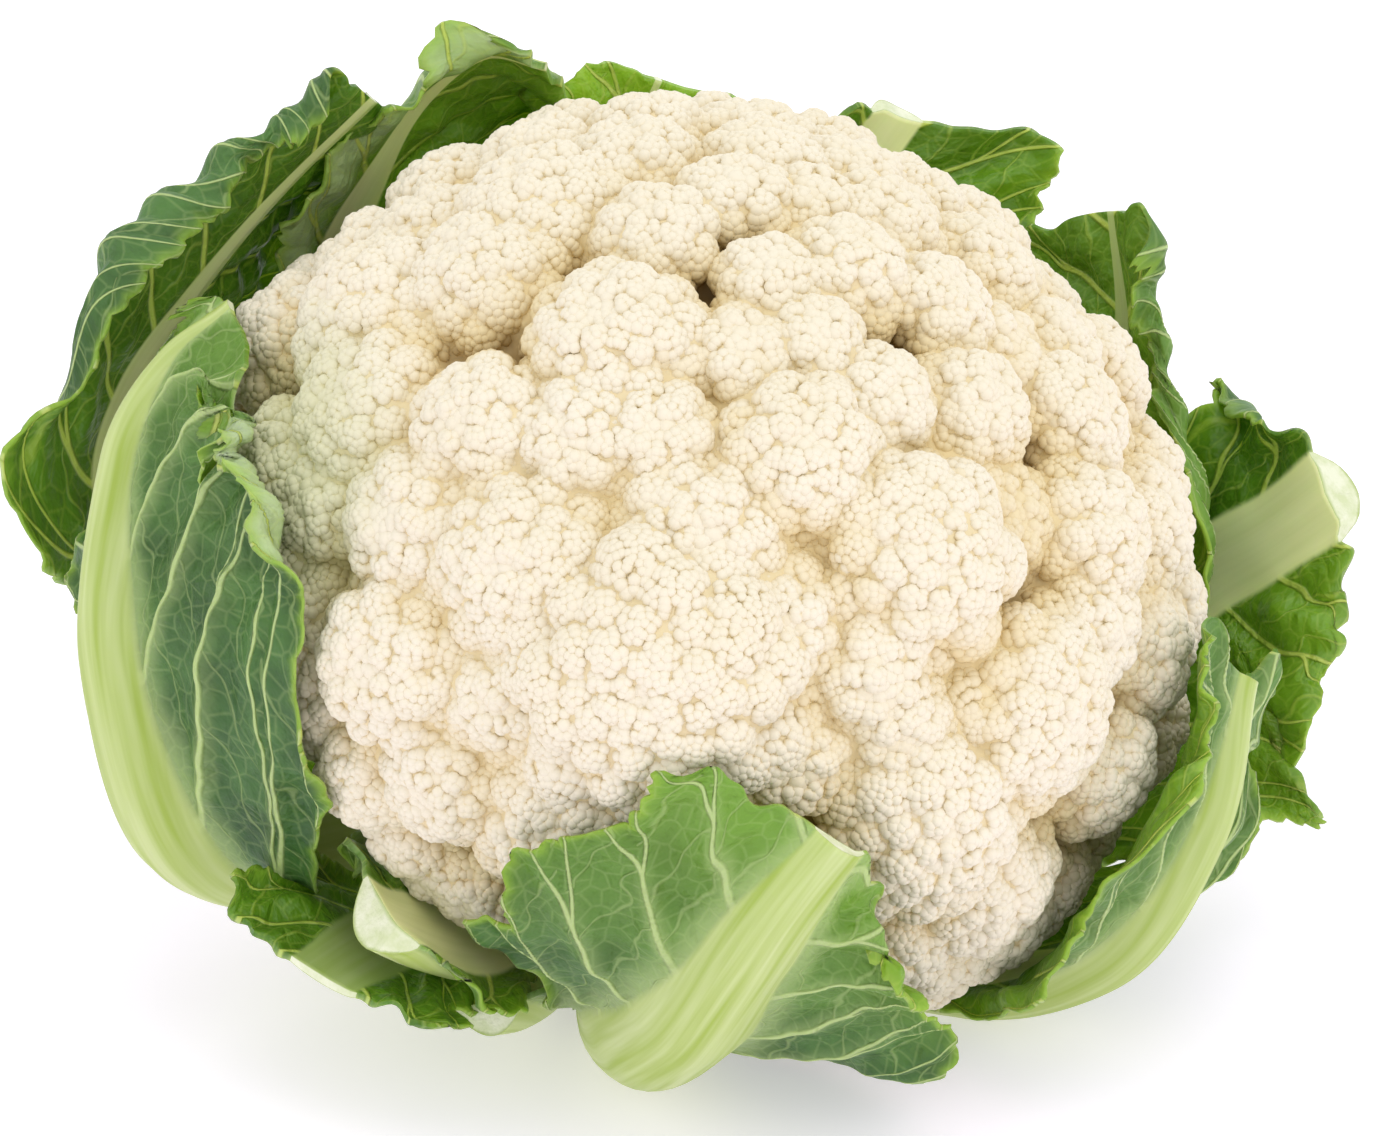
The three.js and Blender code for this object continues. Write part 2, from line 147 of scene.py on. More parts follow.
def add_node(tree, kind, inputs=None, **settings):
    node = tree.nodes.new(kind)
    for name, value in settings.items():
        setattr(node, name, value)
    for socket, value in (inputs or {}).items():
        if isinstance(value, bpy.types.NodeSocket):
            tree.links.new(value, node.inputs[socket])
        else:
            node.inputs[socket].default_value = value
    return node


def new_material(name):
    material = bpy.data.materials.new(name)
    material.use_nodes = True
    material.node_tree.nodes.clear()
    return material, material.node_tree


def mesh_object(name, points, quads, triangles=()):
    """A new object whose faces are all smooth, from arrays of points in metres and of corners."""
    mesh = bpy.data.meshes.new(name)
    corners = np.concatenate([np.ravel(quads), np.ravel(triangles)]).astype(np.int32)
    sizes = np.repeat([4, 3], [len(quads), len(triangles)])
    mesh.vertices.add(len(points))
    mesh.vertices.foreach_set("co", np.ravel(points).astype(np.float32))
    mesh.loops.add(len(corners))
    mesh.loops.foreach_set("vertex_index", corners)
    mesh.polygons.add(len(sizes))
    mesh.polygons.foreach_set("loop_start", (np.cumsum(sizes) - sizes).astype(np.int32))
    mesh.polygons.foreach_set("use_smooth", np.ones(len(sizes), dtype=bool))
    mesh.update(calc_edges=True)
    made = bpy.data.objects.new(name, mesh)
    bpy.context.collection.objects.link(made)
    return made


def set_attribute(mesh, name, values, kind="FLOAT", domain="POINT"):
    field = "value" if kind == "FLOAT" else "vector"
    mesh.attributes.new(name, kind, domain).data.foreach_set(field, np.ravel(values).astype(np.float32))


def fit_out(piece, node):
    """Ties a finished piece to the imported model."""
    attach(piece, "root")
    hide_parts(node)


print("white is", linear("#ffffff"))

# %% [markdown]
# ## Table and light
#
# A product photograph on white: a sheet of pale paper, light from all round, and four large soft lamps
# that leave a faint shadow under the head: a key lamp above, one on either side in front, and one
# behind. The white surroundings do most of the lighting, so the hollows between the florets are filled
# with bounced light. Stronger lamps were tried, but they bleach the curd until its florets disappear.

# %% Floor and lights
FLOOR_SIZE = 6.0
SURROUND_STRENGTH = 0.92
KEY_LIGHT = {"place": (0.1, -0.4, 1.4), "size": 0.9, "power": 2.6}
FILL_LIGHT = {"place": (0.9, -0.7, 0.8), "size": 0.9, "power": 2.2}
BACK_LIGHT = {"place": (0.1, 1.0, 0.9), "size": 0.9, "power": 1.5}
FRONT_LIGHT = {"place": (-1.0, -0.9, 0.7), "size": 1.0, "power": 1.5}

paper, tree = new_material("matt white paper")
# Uncoated paper on a light table: an even, dead matt white with a very slight tooth. The faint glow
# keeps the shadow under the head pale.
tooth = add_node(tree, "ShaderNodeTexNoise", {"Scale": 900.0, "Detail": 2.0})
tooth_bump = add_node(tree, "ShaderNodeBump", {"Strength": 0.02, "Height": tooth.outputs["Fac"]})
shader = add_node(tree, "ShaderNodeBsdfPrincipled", {
    "Base Color": linear("#e6e0ec"), "Roughness": 0.95, "Normal": tooth_bump.outputs["Normal"],
    "Emission Color": linear("#fcf9ff"), "Emission Strength": 0.42})
add_node(tree, "ShaderNodeOutputMaterial", {"Surface": shader.outputs[0]})

half_floor = FLOOR_SIZE / 2
floor_corners = [(-half_floor, -half_floor, 0), (half_floor, -half_floor, 0),
                 (half_floor, half_floor, 0), (-half_floor, half_floor, 0)]
floor = mesh_object("floor", floor_corners, [(0, 1, 2, 3)])
floor.data.materials.append(paper)

scene = bpy.context.scene
scene.view_settings.view_transform = "Standard"
world = bpy.data.worlds.new("white surroundings")
world.use_nodes = True
world.node_tree.nodes["Background"].inputs["Color"].default_value = linear("#fdfeff")
world.node_tree.nodes["Background"].inputs["Strength"].default_value = SURROUND_STRENGTH
scene.world = world
for name, lamp in (("key", KEY_LIGHT), ("fill", FILL_LIGHT), ("back", BACK_LIGHT), ("front", FRONT_LIGHT)):
    data = bpy.data.lights.new(name, "AREA")
    data.shape = "DISK"
    data.size = lamp["size"]
    data.energy = lamp["power"]
    light = bpy.data.objects.new(name, data)
    light.location = lamp["place"]
    aim = Vector(curd_world) - Vector(lamp["place"])
    light.rotation_euler = aim.to_track_quat("-Z", "Y").to_euler()
    bpy.context.collection.objects.link(light)

# %% [markdown]
# ## Where the florets sit
#
# The curd is a tree of buds that repeats itself: florets carry smaller heads, and heads carry buds. The
# largest florets are listed from the photograph as degrees round the axis, degrees down from the
# crown, width in millimetres, and how far they stand proud. The rest follow the spiral that the plant
# itself grows in, each turned by the golden angle from the one before. Where the list and the spiral
# leave a bare place, a floret of the last list closes it.

# %% Places of the florets
SEED = 20
FRONT_FLORETS = np.array([
    [217, 39, 36, 2], [216, 58, 29, 1], [228, 50, 26, 0], [238, 44, 25, -1], [187, 51, 33, 0],
    [184, 67, 39, 2], [200, 70, 36, 1], [219, 72, 30, 0], [207, 80, 24, -1], [171, 45, 38, 1],
    [152, 36, 29, 0], [186, 28, 26, 0], [159, 19, 24, 0], [124, 24, 28, 0], [221, 16, 21, 0],
    [238, 28, 21, -1], [255, 20, 20, 0], [248, 5, 26, 1], [282, 25, 22, 0], [264, 36, 32, 2.5],
    [316, 26, 24, 0], [343, 12, 24, 0], [38, 25, 26, 0], [350, 36, 28, 0.5], [334, 48, 30, 1],
    [291, 46, 42, 3], [285, 60, 24, -1], [253, 51, 34, -0.5], [234, 66, 38, 1], [257, 69, 62, 4.5],
    [270, 57, 26, -2], [312, 65, 40, 2.5], [228, 86, 36, 2], [240, 94, 30, -1], [256, 91, 44, -1.5],
    [290, 66, 24, -2], [298, 78, 44, 2], [312, 90, 34, 0], [277, 72, 26, -3], [326, 58, 24, 0],
    [302, 100, 34, 0], [230, 103, 26, 2], [237, 110, 22, 2], [243, 113, 20, 2.5], [249, 113, 27, 2],
    [311, 103, 30, 2.5], [320, 100, 30, 1.5], [330, 99, 30, 0.5], [173, 85, 36, 4], [163, 84, 30, 1],
    [210, 94, 34, 0], [219, 100, 30, 0], [197, 84, 30, 2], [352, 23, 26, -3],
], dtype=float)
GAP_FLORETS = np.array([
    [76, 12, 27, 0], [92, 24, 25, 0], [112, 37, 28, 0], [132, 43, 28, 0.5], [149, 52, 28, 0],
    [170, 60, 26, -0.5], [167, 71, 27, 0], [14, 34, 23, -1], [128, 12, 22, -1], [344, 100, 26, 0],
    [16, 102, 26, 0], [153, 102, 26, 0], [69, 102, 26, 0], [242, 80, 24, -1.5],
], dtype=float)
FILL_COUNT = 96
FILL_WIDTH = 29.0
FILL_LOWEST_ANGLE = math.radians(106)
FILL_CROWDING = 0.66
FILL_DROP = 20.0


def curd_direction(azimuth, from_axis):
    polar = np.radians(from_axis)
    return on_head(azimuth, np.sin(polar), np.cos(polar))


front_directions = curd_direction(FRONT_FLORETS[:, 0], FRONT_FLORETS[:, 1])
turns = np.arange(FILL_COUNT)
levels = 1 - (1 - math.cos(FILL_LOWEST_ANGLE)) * (turns + 0.5) / FILL_COUNT
fill_directions = curd_direction(np.degrees(turns * GOLDEN_ANGLE), np.degrees(np.arccos(levels)))
apart = np.arccos(np.clip(fill_directions @ front_directions.T, -1, 1))
apart *= curd_reach(fill_directions)[:, None]
crowding = np.min(apart / ((FRONT_FLORETS[:, 2] + FILL_WIDTH) / 2), axis=1)
free = crowding >= FILL_CROWDING
gap_directions = curd_direction(GAP_FLORETS[:, 0], GAP_FLORETS[:, 1])
fill_stands = -FILL_DROP * np.clip(1 - crowding[free], 0, None)
floret_directions = np.vstack([front_directions, fill_directions[free], gap_directions])
floret_widths = np.concatenate([FRONT_FLORETS[:, 2], np.full(free.sum(), FILL_WIDTH), GAP_FLORETS[:, 2]])
floret_stands = np.concatenate([FRONT_FLORETS[:, 3], fill_stands, GAP_FLORETS[:, 3]])
print(len(floret_widths), "florets")

# %% [markdown]
# ## Heads and buds on the florets
#
# A floret repeats itself at every size. From its tip outward the buds follow a spiral, each turned by
# the golden angle from the one before: fine at the tip, coarser down the flanks, until a bud is so
# large that it is a head with a spiral of buds of its own. Both steps use the same two functions. The
# buds are only listed here, as points with a size and a direction.

# %% Spirals on domes
PACKING = 0.74


def spiral(radius, widths, lowest, growth):
    """Angles from the tip of a dome, and widths, of the buds that cover it."""
    angles = np.linspace(0, lowest, 300)
    width = widths[0] + (widths[1] - widths[0]) * (angles / lowest) ** growth
    area_per_step = 2 * math.pi * radius ** 2 * np.sin(angles) * (angles[1] - angles[0])
    buds_so_far = np.cumsum(area_per_step / (PACKING * width ** 2))
    bud_angles = np.interp(np.arange(int(buds_so_far[-1])) + 0.5, buds_so_far, angles)
    return bud_angles, np.interp(bud_angles, angles, width)


def on_dome(middle, outward, radius, depth, angles, turns):
    """Points on a flattened dome and the ways that they face."""
    across = unit(np.cross(outward, [0.3, 0.5, 0.8]))
    other = np.cross(outward, across)
    ring = np.sin(angles)[:, None] * (np.cos(turns)[:, None] * across + np.sin(turns)[:, None] * other)
    level = np.cos(angles)[:, None] * outward
    return middle + radius * ring + depth * level, unit(ring / radius + level / depth)


print("a dome 10 mm wide carries", len(spiral(5.0, (1.2, 2.4), math.pi / 2, 1.0)[0]), "buds")

# %% List the heads and the buds
FLORET_FLATTENING = 0.82
FLORET_SINK = 0.95
FLORET_LOWEST = math.radians(104)
FLORET_TIP_BUD = 1.5
FLORET_RIM_HEAD = (9.5, 0.24)
FLORET_GROWTH = 0.75
HEAD_LEAST = 3.6
HEAD_SWELL = 0.58
HEAD_SINK = 0.36
HEAD_LOWEST = math.radians(96)
HEAD_BUDS = (1.4, 2.7)
BODY_BUDS = (2.2, 2.6)
BUD_SWELL = 0.72
BUD_SINK = 0.7
CORE_CENTRE_HEIGHT = 99.0
CORE_RADII = (80.0, 80.0, 59.0)
SKIN_INSET = 0.4

random = np.random.default_rng(SEED)
balls = [(np.array([0, 0, CORE_CENTRE_HEIGHT]), np.array(CORE_RADII), np.array([0.0, 0.0, 1.0]))]
buds = []
for floret, (outward, width, stand) in enumerate(zip(floret_directions, floret_widths, floret_stands)):
    depth = width / 2 * FLORET_FLATTENING
    middle = CURD_MIDDLE + outward * (curd_reach(outward) - depth * FLORET_SINK + stand)
    rim_head = FLORET_RIM_HEAD[0] + FLORET_RIM_HEAD[1] * (width - 30)
    radius = width / 2 - HEAD_SWELL * (1 - HEAD_SINK) * rim_head * 0.8
    angles, sizes = spiral(radius, BODY_BUDS, FLORET_LOWEST, 1.0)
    places, facing = on_dome(middle, outward, radius, depth, angles, np.arange(len(angles)) * GOLDEN_ANGLE)
    buds.extend(zip([floret] * len(angles), places, facing, sizes))
    balls.append((middle, np.array([radius, radius, depth]), outward))
    angles, sizes = spiral(radius, (FLORET_TIP_BUD, rim_head), FLORET_LOWEST, FLORET_GROWTH)
    turns = random.uniform(0, 6) + np.arange(len(angles)) * GOLDEN_ANGLE
    turns = turns + random.normal(0, 0.1, len(angles))
    sizes = sizes * random.uniform(0.78, 1.28, len(angles))
    places, facing = on_dome(middle, outward, radius, depth, angles, turns)
    for place, way, size in zip(places, facing, sizes):
        if size < HEAD_LEAST:
            buds.append((floret, place, way, size))
            continue
        head_radius = HEAD_SWELL * size
        head_middle = place - way * head_radius * HEAD_SINK
        balls.append((head_middle, np.full(3, head_radius), way))
        tip = unit(way + 0.3 * outward)
        angles, widths = spiral(head_radius, HEAD_BUDS, HEAD_LOWEST, 0.8)
        turns = random.uniform(0, 6) + np.arange(len(angles)) * GOLDEN_ANGLE
        turns = turns + random.normal(0, 0.12, len(angles))
        widths = widths * random.uniform(0.85, 1.2, len(angles))
        bud_places, bud_ways = on_dome(head_middle, tip, head_radius, head_radius, angles, turns)
        buds.extend(zip([floret] * len(angles), bud_places, bud_ways, widths))
ball_centres, ball_sizes, ball_outward = (np.array(column) for column in zip(*balls))
bud_floret, bud_places, bud_ways, bud_widths = (np.array(column) for column in zip(*buds))
print(len(balls), "balls and", len(buds), "buds in the curd")

# %% [markdown]
# ## Buds that the eye can reach
#
# Most buds lie inside a neighbouring head or deep in the curd. A bud stays only if its tip is outside
# every ball. Each floret's buds are tested against the balls around it, all at once.

# %% Keep the buds on the outside
BURIED = 0.2

tips = bud_places + bud_ways * (BURIED * bud_widths)[:, None]
outside = np.ones(len(tips), dtype=bool)
for floret in range(len(floret_widths)):
    own = np.flatnonzero(bud_floret == floret)
    low, high = tips[own].min(axis=0), tips[own].max(axis=0)
    largest = ball_sizes.max(axis=1)[:, None]
    close = np.all((ball_centres > low - largest) & (ball_centres < high + largest), axis=1)
    gap = tips[own][:, None, :] - ball_centres[close]
    along = np.sum(gap * ball_outward[close], axis=2)
    across_square = np.sum(gap * gap, axis=2) - along ** 2
    fullness = across_square / ball_sizes[close, 0] ** 2 + (along / ball_sizes[close, 2]) ** 2
    outside[own] = np.all(fullness > 1, axis=1)
print(outside.sum(), "buds show")

# %% [markdown]
# ## Growing the curd
#
# One Geometry Nodes tree puts a copy of a small template on every listed point, turned and sized by
# the point's attributes, and realizes the copies. It is used twice: with a ball for the heads, which
# a voxel remesh then melts into one closed skin, and with a bud that has few faces, because there
# are tens of thousands. A scatter on the finished skin would be shorter but loses the spirals.

# %% Tree that puts copies on points
def new_tree(name, inputs):
    tree = bpy.data.node_groups.new(name, "GeometryNodeTree")
    tree.interface.new_socket("Geometry", in_out="OUTPUT", socket_type="NodeSocketGeometry")
    tree.interface.new_socket("Geometry", in_out="INPUT", socket_type="NodeSocketGeometry")
    for label, kind in inputs.items():
        tree.interface.new_socket(label, in_out="INPUT", socket_type=kind)
    start = add_node(tree, "NodeGroupInput")
    return tree, start


def use_tree(piece, tree, values):
    """Adds the tree as a modifier and sets its inputs by the identifiers of their sockets."""
    modifier = piece.modifiers.new(tree.name, "NODES")
    modifier.node_group = tree
    for item in tree.interface.items_tree:
        if item.in_out == "INPUT" and item.name in values:
            modifier[item.identifier] = values[item.name]
    return modifier


copy_tree, start = new_tree("copies on points", {
    "Template": "NodeSocketObject", "Material": "NodeSocketMaterial"})
size = add_node(copy_tree, "GeometryNodeInputNamedAttribute", {"Name": "size"}, data_type="FLOAT_VECTOR")
way = add_node(copy_tree, "GeometryNodeInputNamedAttribute", {"Name": "outward"}, data_type="FLOAT_VECTOR")
turn = add_node(copy_tree, "FunctionNodeAlignRotationToVector", {"Vector": way.outputs[0]}, axis="Z")
template = add_node(copy_tree, "GeometryNodeObjectInfo", {"Object": start.outputs["Template"]})
copies = add_node(copy_tree, "GeometryNodeInstanceOnPoints", {
    "Points": start.outputs["Geometry"], "Instance": template.outputs["Geometry"],
    "Rotation": turn.outputs[0], "Scale": size.outputs[0]})
whole = add_node(copy_tree, "GeometryNodeRealizeInstances", {"Geometry": copies.outputs[0]})
painted = add_node(copy_tree, "GeometryNodeSetMaterial", {
    "Geometry": whole.outputs[0], "Material": start.outputs["Material"]})
add_node(copy_tree, "NodeGroupOutput", {"Geometry": painted.outputs[0]})
print(copy_tree.name, "has", len(copy_tree.nodes), "nodes")

# %% [markdown]
# ## The curd's flesh
#
# Cauliflower curd is a dense, slightly translucent vegetable tissue. Its bud tips are ivory and dead
# matt, and light that gets in between the buds comes back warm, so every crease glows a soft yellow
# and the deepest gaps lie in shade. Subsurface scattering would be the obvious choice for that glow,
# but it draws grey lines where thousands of small bodies overlap, so the light is painted into the
# colour instead, from two attributes: how high a point sits on its bud, and how deep it lies below the
# top of its floret. The creases get a painted warm glow and the deepest gaps painted brown shade. Green
# light bounced from the left leaf is painted as a green reflection on the florets beside it, and the
# bare stalks under the lowest florets have a green tinge of their own.

# %% Material of the curd
IVORY, CREAM, CREASE_GLOW_STRAW, GAP_SHADE_BROWN, TINGE = "#f0e8d6", "#eadfc4", "#e5d09a", "#94702c", "#bcc587"
GRAIN = 0.6 * MM
CREASE_DEPTHS = (2 * MM, 8 * MM)
HOLLOW_DEPTHS = (7 * MM, 14 * MM)

flesh, tree = new_material("cauliflower curd")
rise = add_node(tree, "ShaderNodeAttribute", attribute_name="rise")
# painted warm glow on the low flanks of every bud, for the light that comes back yellow from between the buds
crease = add_node(tree, "ShaderNodeMapRange", {
    "Value": rise.outputs["Fac"], 1: 0.7, 2: 0.15, 3: 0.0, 4: 0.65}, interpolation_type="SMOOTHSTEP")
depth = add_node(tree, "ShaderNodeAttribute", attribute_name="depth")
# painted warm glow in the creases between florets, stronger deeper below the top of the floret
deep = add_node(tree, "ShaderNodeMapRange", {
    "Value": depth.outputs["Fac"], 1: CREASE_DEPTHS[0], 2: CREASE_DEPTHS[1], 3: 0.0, 4: 0.85})
# painted brown shade in the deepest gaps between the florets
deepest = add_node(tree, "ShaderNodeMapRange", {
    "Value": depth.outputs["Fac"], 1: HOLLOW_DEPTHS[0], 2: HOLLOW_DEPTHS[1], 3: 0.0, 4: 0.75})
# painted green reflection near the left leaf, and the real green tinge of the bare stalks
reflection_and_stalk_tinge = add_node(tree, "ShaderNodeAttribute", attribute_name="tinge")
place = add_node(tree, "ShaderNodeTexCoord")
patches = add_node(tree, "ShaderNodeTexNoise", {
    "Vector": place.outputs["Object"], "Scale": 1 / (18 * MM), "Detail": 2.0})
top = add_node(tree, "ShaderNodeMix", {
    0: patches.outputs["Fac"], 6: linear(IVORY), 7: linear(CREAM)}, data_type="RGBA")
creased = add_node(tree, "ShaderNodeMix", {
    0: crease.outputs[0], 6: top.outputs[2], 7: linear(CREASE_GLOW_STRAW)}, data_type="RGBA")
deepened = add_node(tree, "ShaderNodeMix", {
    0: deep.outputs[0], 6: creased.outputs[2], 7: linear(CREASE_GLOW_STRAW)}, data_type="RGBA")
gap_shaded = add_node(tree, "ShaderNodeMix", {
    0: deepest.outputs[0], 6: deepened.outputs[2], 7: linear(GAP_SHADE_BROWN)}, data_type="RGBA")
tinged = add_node(tree, "ShaderNodeMix", {
    0: reflection_and_stalk_tinge.outputs["Fac"], 6: gap_shaded.outputs[2], 7: linear(TINGE)}, data_type="RGBA")
grain = add_node(tree, "ShaderNodeTexNoise", {
    "Vector": place.outputs["Object"], "Scale": 1 / GRAIN, "Detail": 2.0})
grain_bump = add_node(tree, "ShaderNodeBump", {
    "Strength": 0.25, "Distance": 0.12 * MM, "Height": grain.outputs["Fac"]})
shader = add_node(tree, "ShaderNodeBsdfPrincipled", {
    "Base Color": tinged.outputs[2], "Roughness": 0.6, "IOR": 1.42,
    "Normal": grain_bump.outputs["Normal"]})
add_node(tree, "ShaderNodeOutputMaterial", {"Surface": shader.outputs[0]})
print(flesh.name, "has", len(tree.nodes), "nodes")

# %% [markdown]
# ## Two templates
#
# A head is nearly a ball, and a bud is a small round cap. Blender has a ready sphere, but a bud is
# repeated tens of thousands of times, so both are built ring by ring with as few faces as the eye
# allows. Every point keeps how high it sits on its bud, which the flesh reads as tip or crease.

# %% Templates of a ball and a bud
BALL_RINGS = (20, 40, 60, 80, 100, 120, 140, 160)
BUD_RINGS = (36, 76)
LEFT_LEAF_WAY = curd_direction(200.0, 84.0)
LEFT_LEAF_REFLECTION, STALK_TINGE = 0.5, 0.75
TINGE_FROM, TINGE_FULL = math.cos(math.radians(24)), math.cos(math.radians(4))
STALK_SLOPES = (0.2, 0.45)
STALK_DEPTHS = (5 * MM, 10 * MM)


def template_object(name, ring_angles, sides, lowest):
    """A closed round body of radius 1: a top point, rings at these angles from it, a bottom point."""
    polar = np.radians(np.repeat(ring_angles, sides))
    turn = np.tile(np.arange(sides), len(ring_angles)) * 2 * math.pi / sides
    rings = np.stack([np.sin(polar) * np.cos(turn), np.sin(polar) * np.sin(turn), np.cos(polar)], axis=-1)
    points = np.vstack([rings, [0, 0, 1], [0, 0, lowest]])
    top, bottom = len(rings), len(rings) + 1
    start = np.arange(sides)
    following = (start + 1) % sides
    last = len(rings) - sides
    band = np.stack([start + sides, following + sides, following, start], axis=-1)
    quads = [band + ring for ring in range(0, last, sides)]
    caps = [np.stack([np.full(sides, top), start, following], axis=-1),
            np.stack([np.full(sides, bottom), following + last, start + last], axis=-1)]
    made = mesh_object(name, points, np.concatenate(quads), np.concatenate(caps))
    set_attribute(made.data, "rise", np.clip(points[:, 2], 0, 1))
    return made


def curd_fields(points):
    """How deep points of the frame lie below the top of their floret, how much painted green reflection the
    left leaf casts on them, and how green the bare stalks are.
    """
    upright = points / MM @ LEAN - CURD_MIDDLE
    ways = unit(upright)
    nearest = np.argmax(ways @ floret_directions.T, axis=1)
    tops = curd_reach(ways) + np.clip(floret_stands[nearest], 0, None)
    depth = np.clip(tops - np.linalg.norm(upright, axis=1), 0, None) * MM
    # painted green reflection of the left leaf on the florets beside it
    leaf_reflection = smoothstep(ways @ LEFT_LEAF_WAY, TINGE_FROM, TINGE_FULL)
    stalks = smoothstep(-ways[:, 2], *STALK_SLOPES) * smoothstep(depth, *STALK_DEPTHS)
    tinge = np.maximum(LEFT_LEAF_REFLECTION * leaf_reflection, STALK_TINGE * stalks)
    return {"depth": depth * (1 - stalks), "tinge": tinge}


def grow(name, places, sizes, ways, template, melt_to=None):
    """A new object: the template on every point, melted into one skin if a voxel size is given."""
    points = in_frame(places)
    made = mesh_object(name, points, np.zeros((0, 4), int))
    set_attribute(made.data, "size", sizes * MM, "FLOAT_VECTOR")
    set_attribute(made.data, "outward", ways @ LEAN.T, "FLOAT_VECTOR")
    if not melt_to:
        for field, values in curd_fields(points).items():
            set_attribute(made.data, field, values)
    use_tree(made, copy_tree, {"Template": template, "Material": flesh})
    if melt_to:
        melt = made.modifiers.new("melt into one skin", "REMESH")
        melt.mode = "VOXEL"
        melt.voxel_size = melt_to
        melt.use_smooth_shade = True
    evaluated = made.evaluated_get(bpy.context.evaluated_depsgraph_get())
    grown = bpy.data.meshes.new_from_object(evaluated)
    made.modifiers.clear()
    made.data = grown
    return made


ball_template = template_object("ball template", BALL_RINGS, 16, -1.0)
bud_template = template_object("bud template", BUD_RINGS, 7, -0.5)
print("bud template:", len(bud_template.data.polygons), "faces")

# %% [markdown]
# ## The skin under the buds
#
# On the real head the florets grow together without a seam. Thousands of Boolean unions would be slow
# and fragile. A voxel remesh wraps all the balls in one closed skin instead, and the buds hide that it
# is soft at its edges.

# %% Grow the skin of the curd
VOXEL = 1.4 * MM

skin = grow("curd", ball_centres, ball_sizes - SKIN_INSET, ball_outward, ball_template, VOXEL)
skin_points = np.empty(len(skin.data.vertices) * 3, np.float32)
skin.data.vertices.foreach_get("co", skin_points)
for field, values in curd_fields(skin_points.reshape(-1, 3).astype(float)).items():
    set_attribute(skin.data, field, values)
skin.data.materials.clear()
skin.data.materials.append(flesh)
fit_out(skin, "curd")
print("skin of the curd:", 2 * len(skin.data.polygons), "triangles")

# %% [markdown]
# ## Groups of buds
#
# The buds give the curd its grain. All of them in one piece would be too heavy to handle, so they are
# gathered as a cook would part the curd: a crown and a ring of sectors, floret by floret.

# %% Grow the buds
SECTORS = 7
CROWN_ANGLE = math.radians(33)

floret_turn = np.arctan2(floret_directions[:, 1], floret_directions[:, 0]) % (2 * math.pi)
floret_group = (floret_turn / (2 * math.pi) * SECTORS).astype(int) + 1
floret_group[floret_directions[:, 2] > math.cos(CROWN_ANGLE)] = 0
for group in range(SECTORS + 1):
    own = outside & (floret_group[bud_floret] == group)
    radii = BUD_SWELL * bud_widths[own]
    middles = bud_places[own] - bud_ways[own] * (BUD_SINK * radii)[:, None]
    sizes = np.repeat(radii[:, None], 3, axis=1)
    piece = grow(f"curd_buds_{group}", middles, sizes, bud_ways[own], bud_template)
    fit_out(piece, "curd")
    print(piece.name, sum(len(face.vertices) - 2 for face in piece.data.polygons), "triangles")
for template in (ball_template, bud_template):
    bpy.data.objects.remove(template)
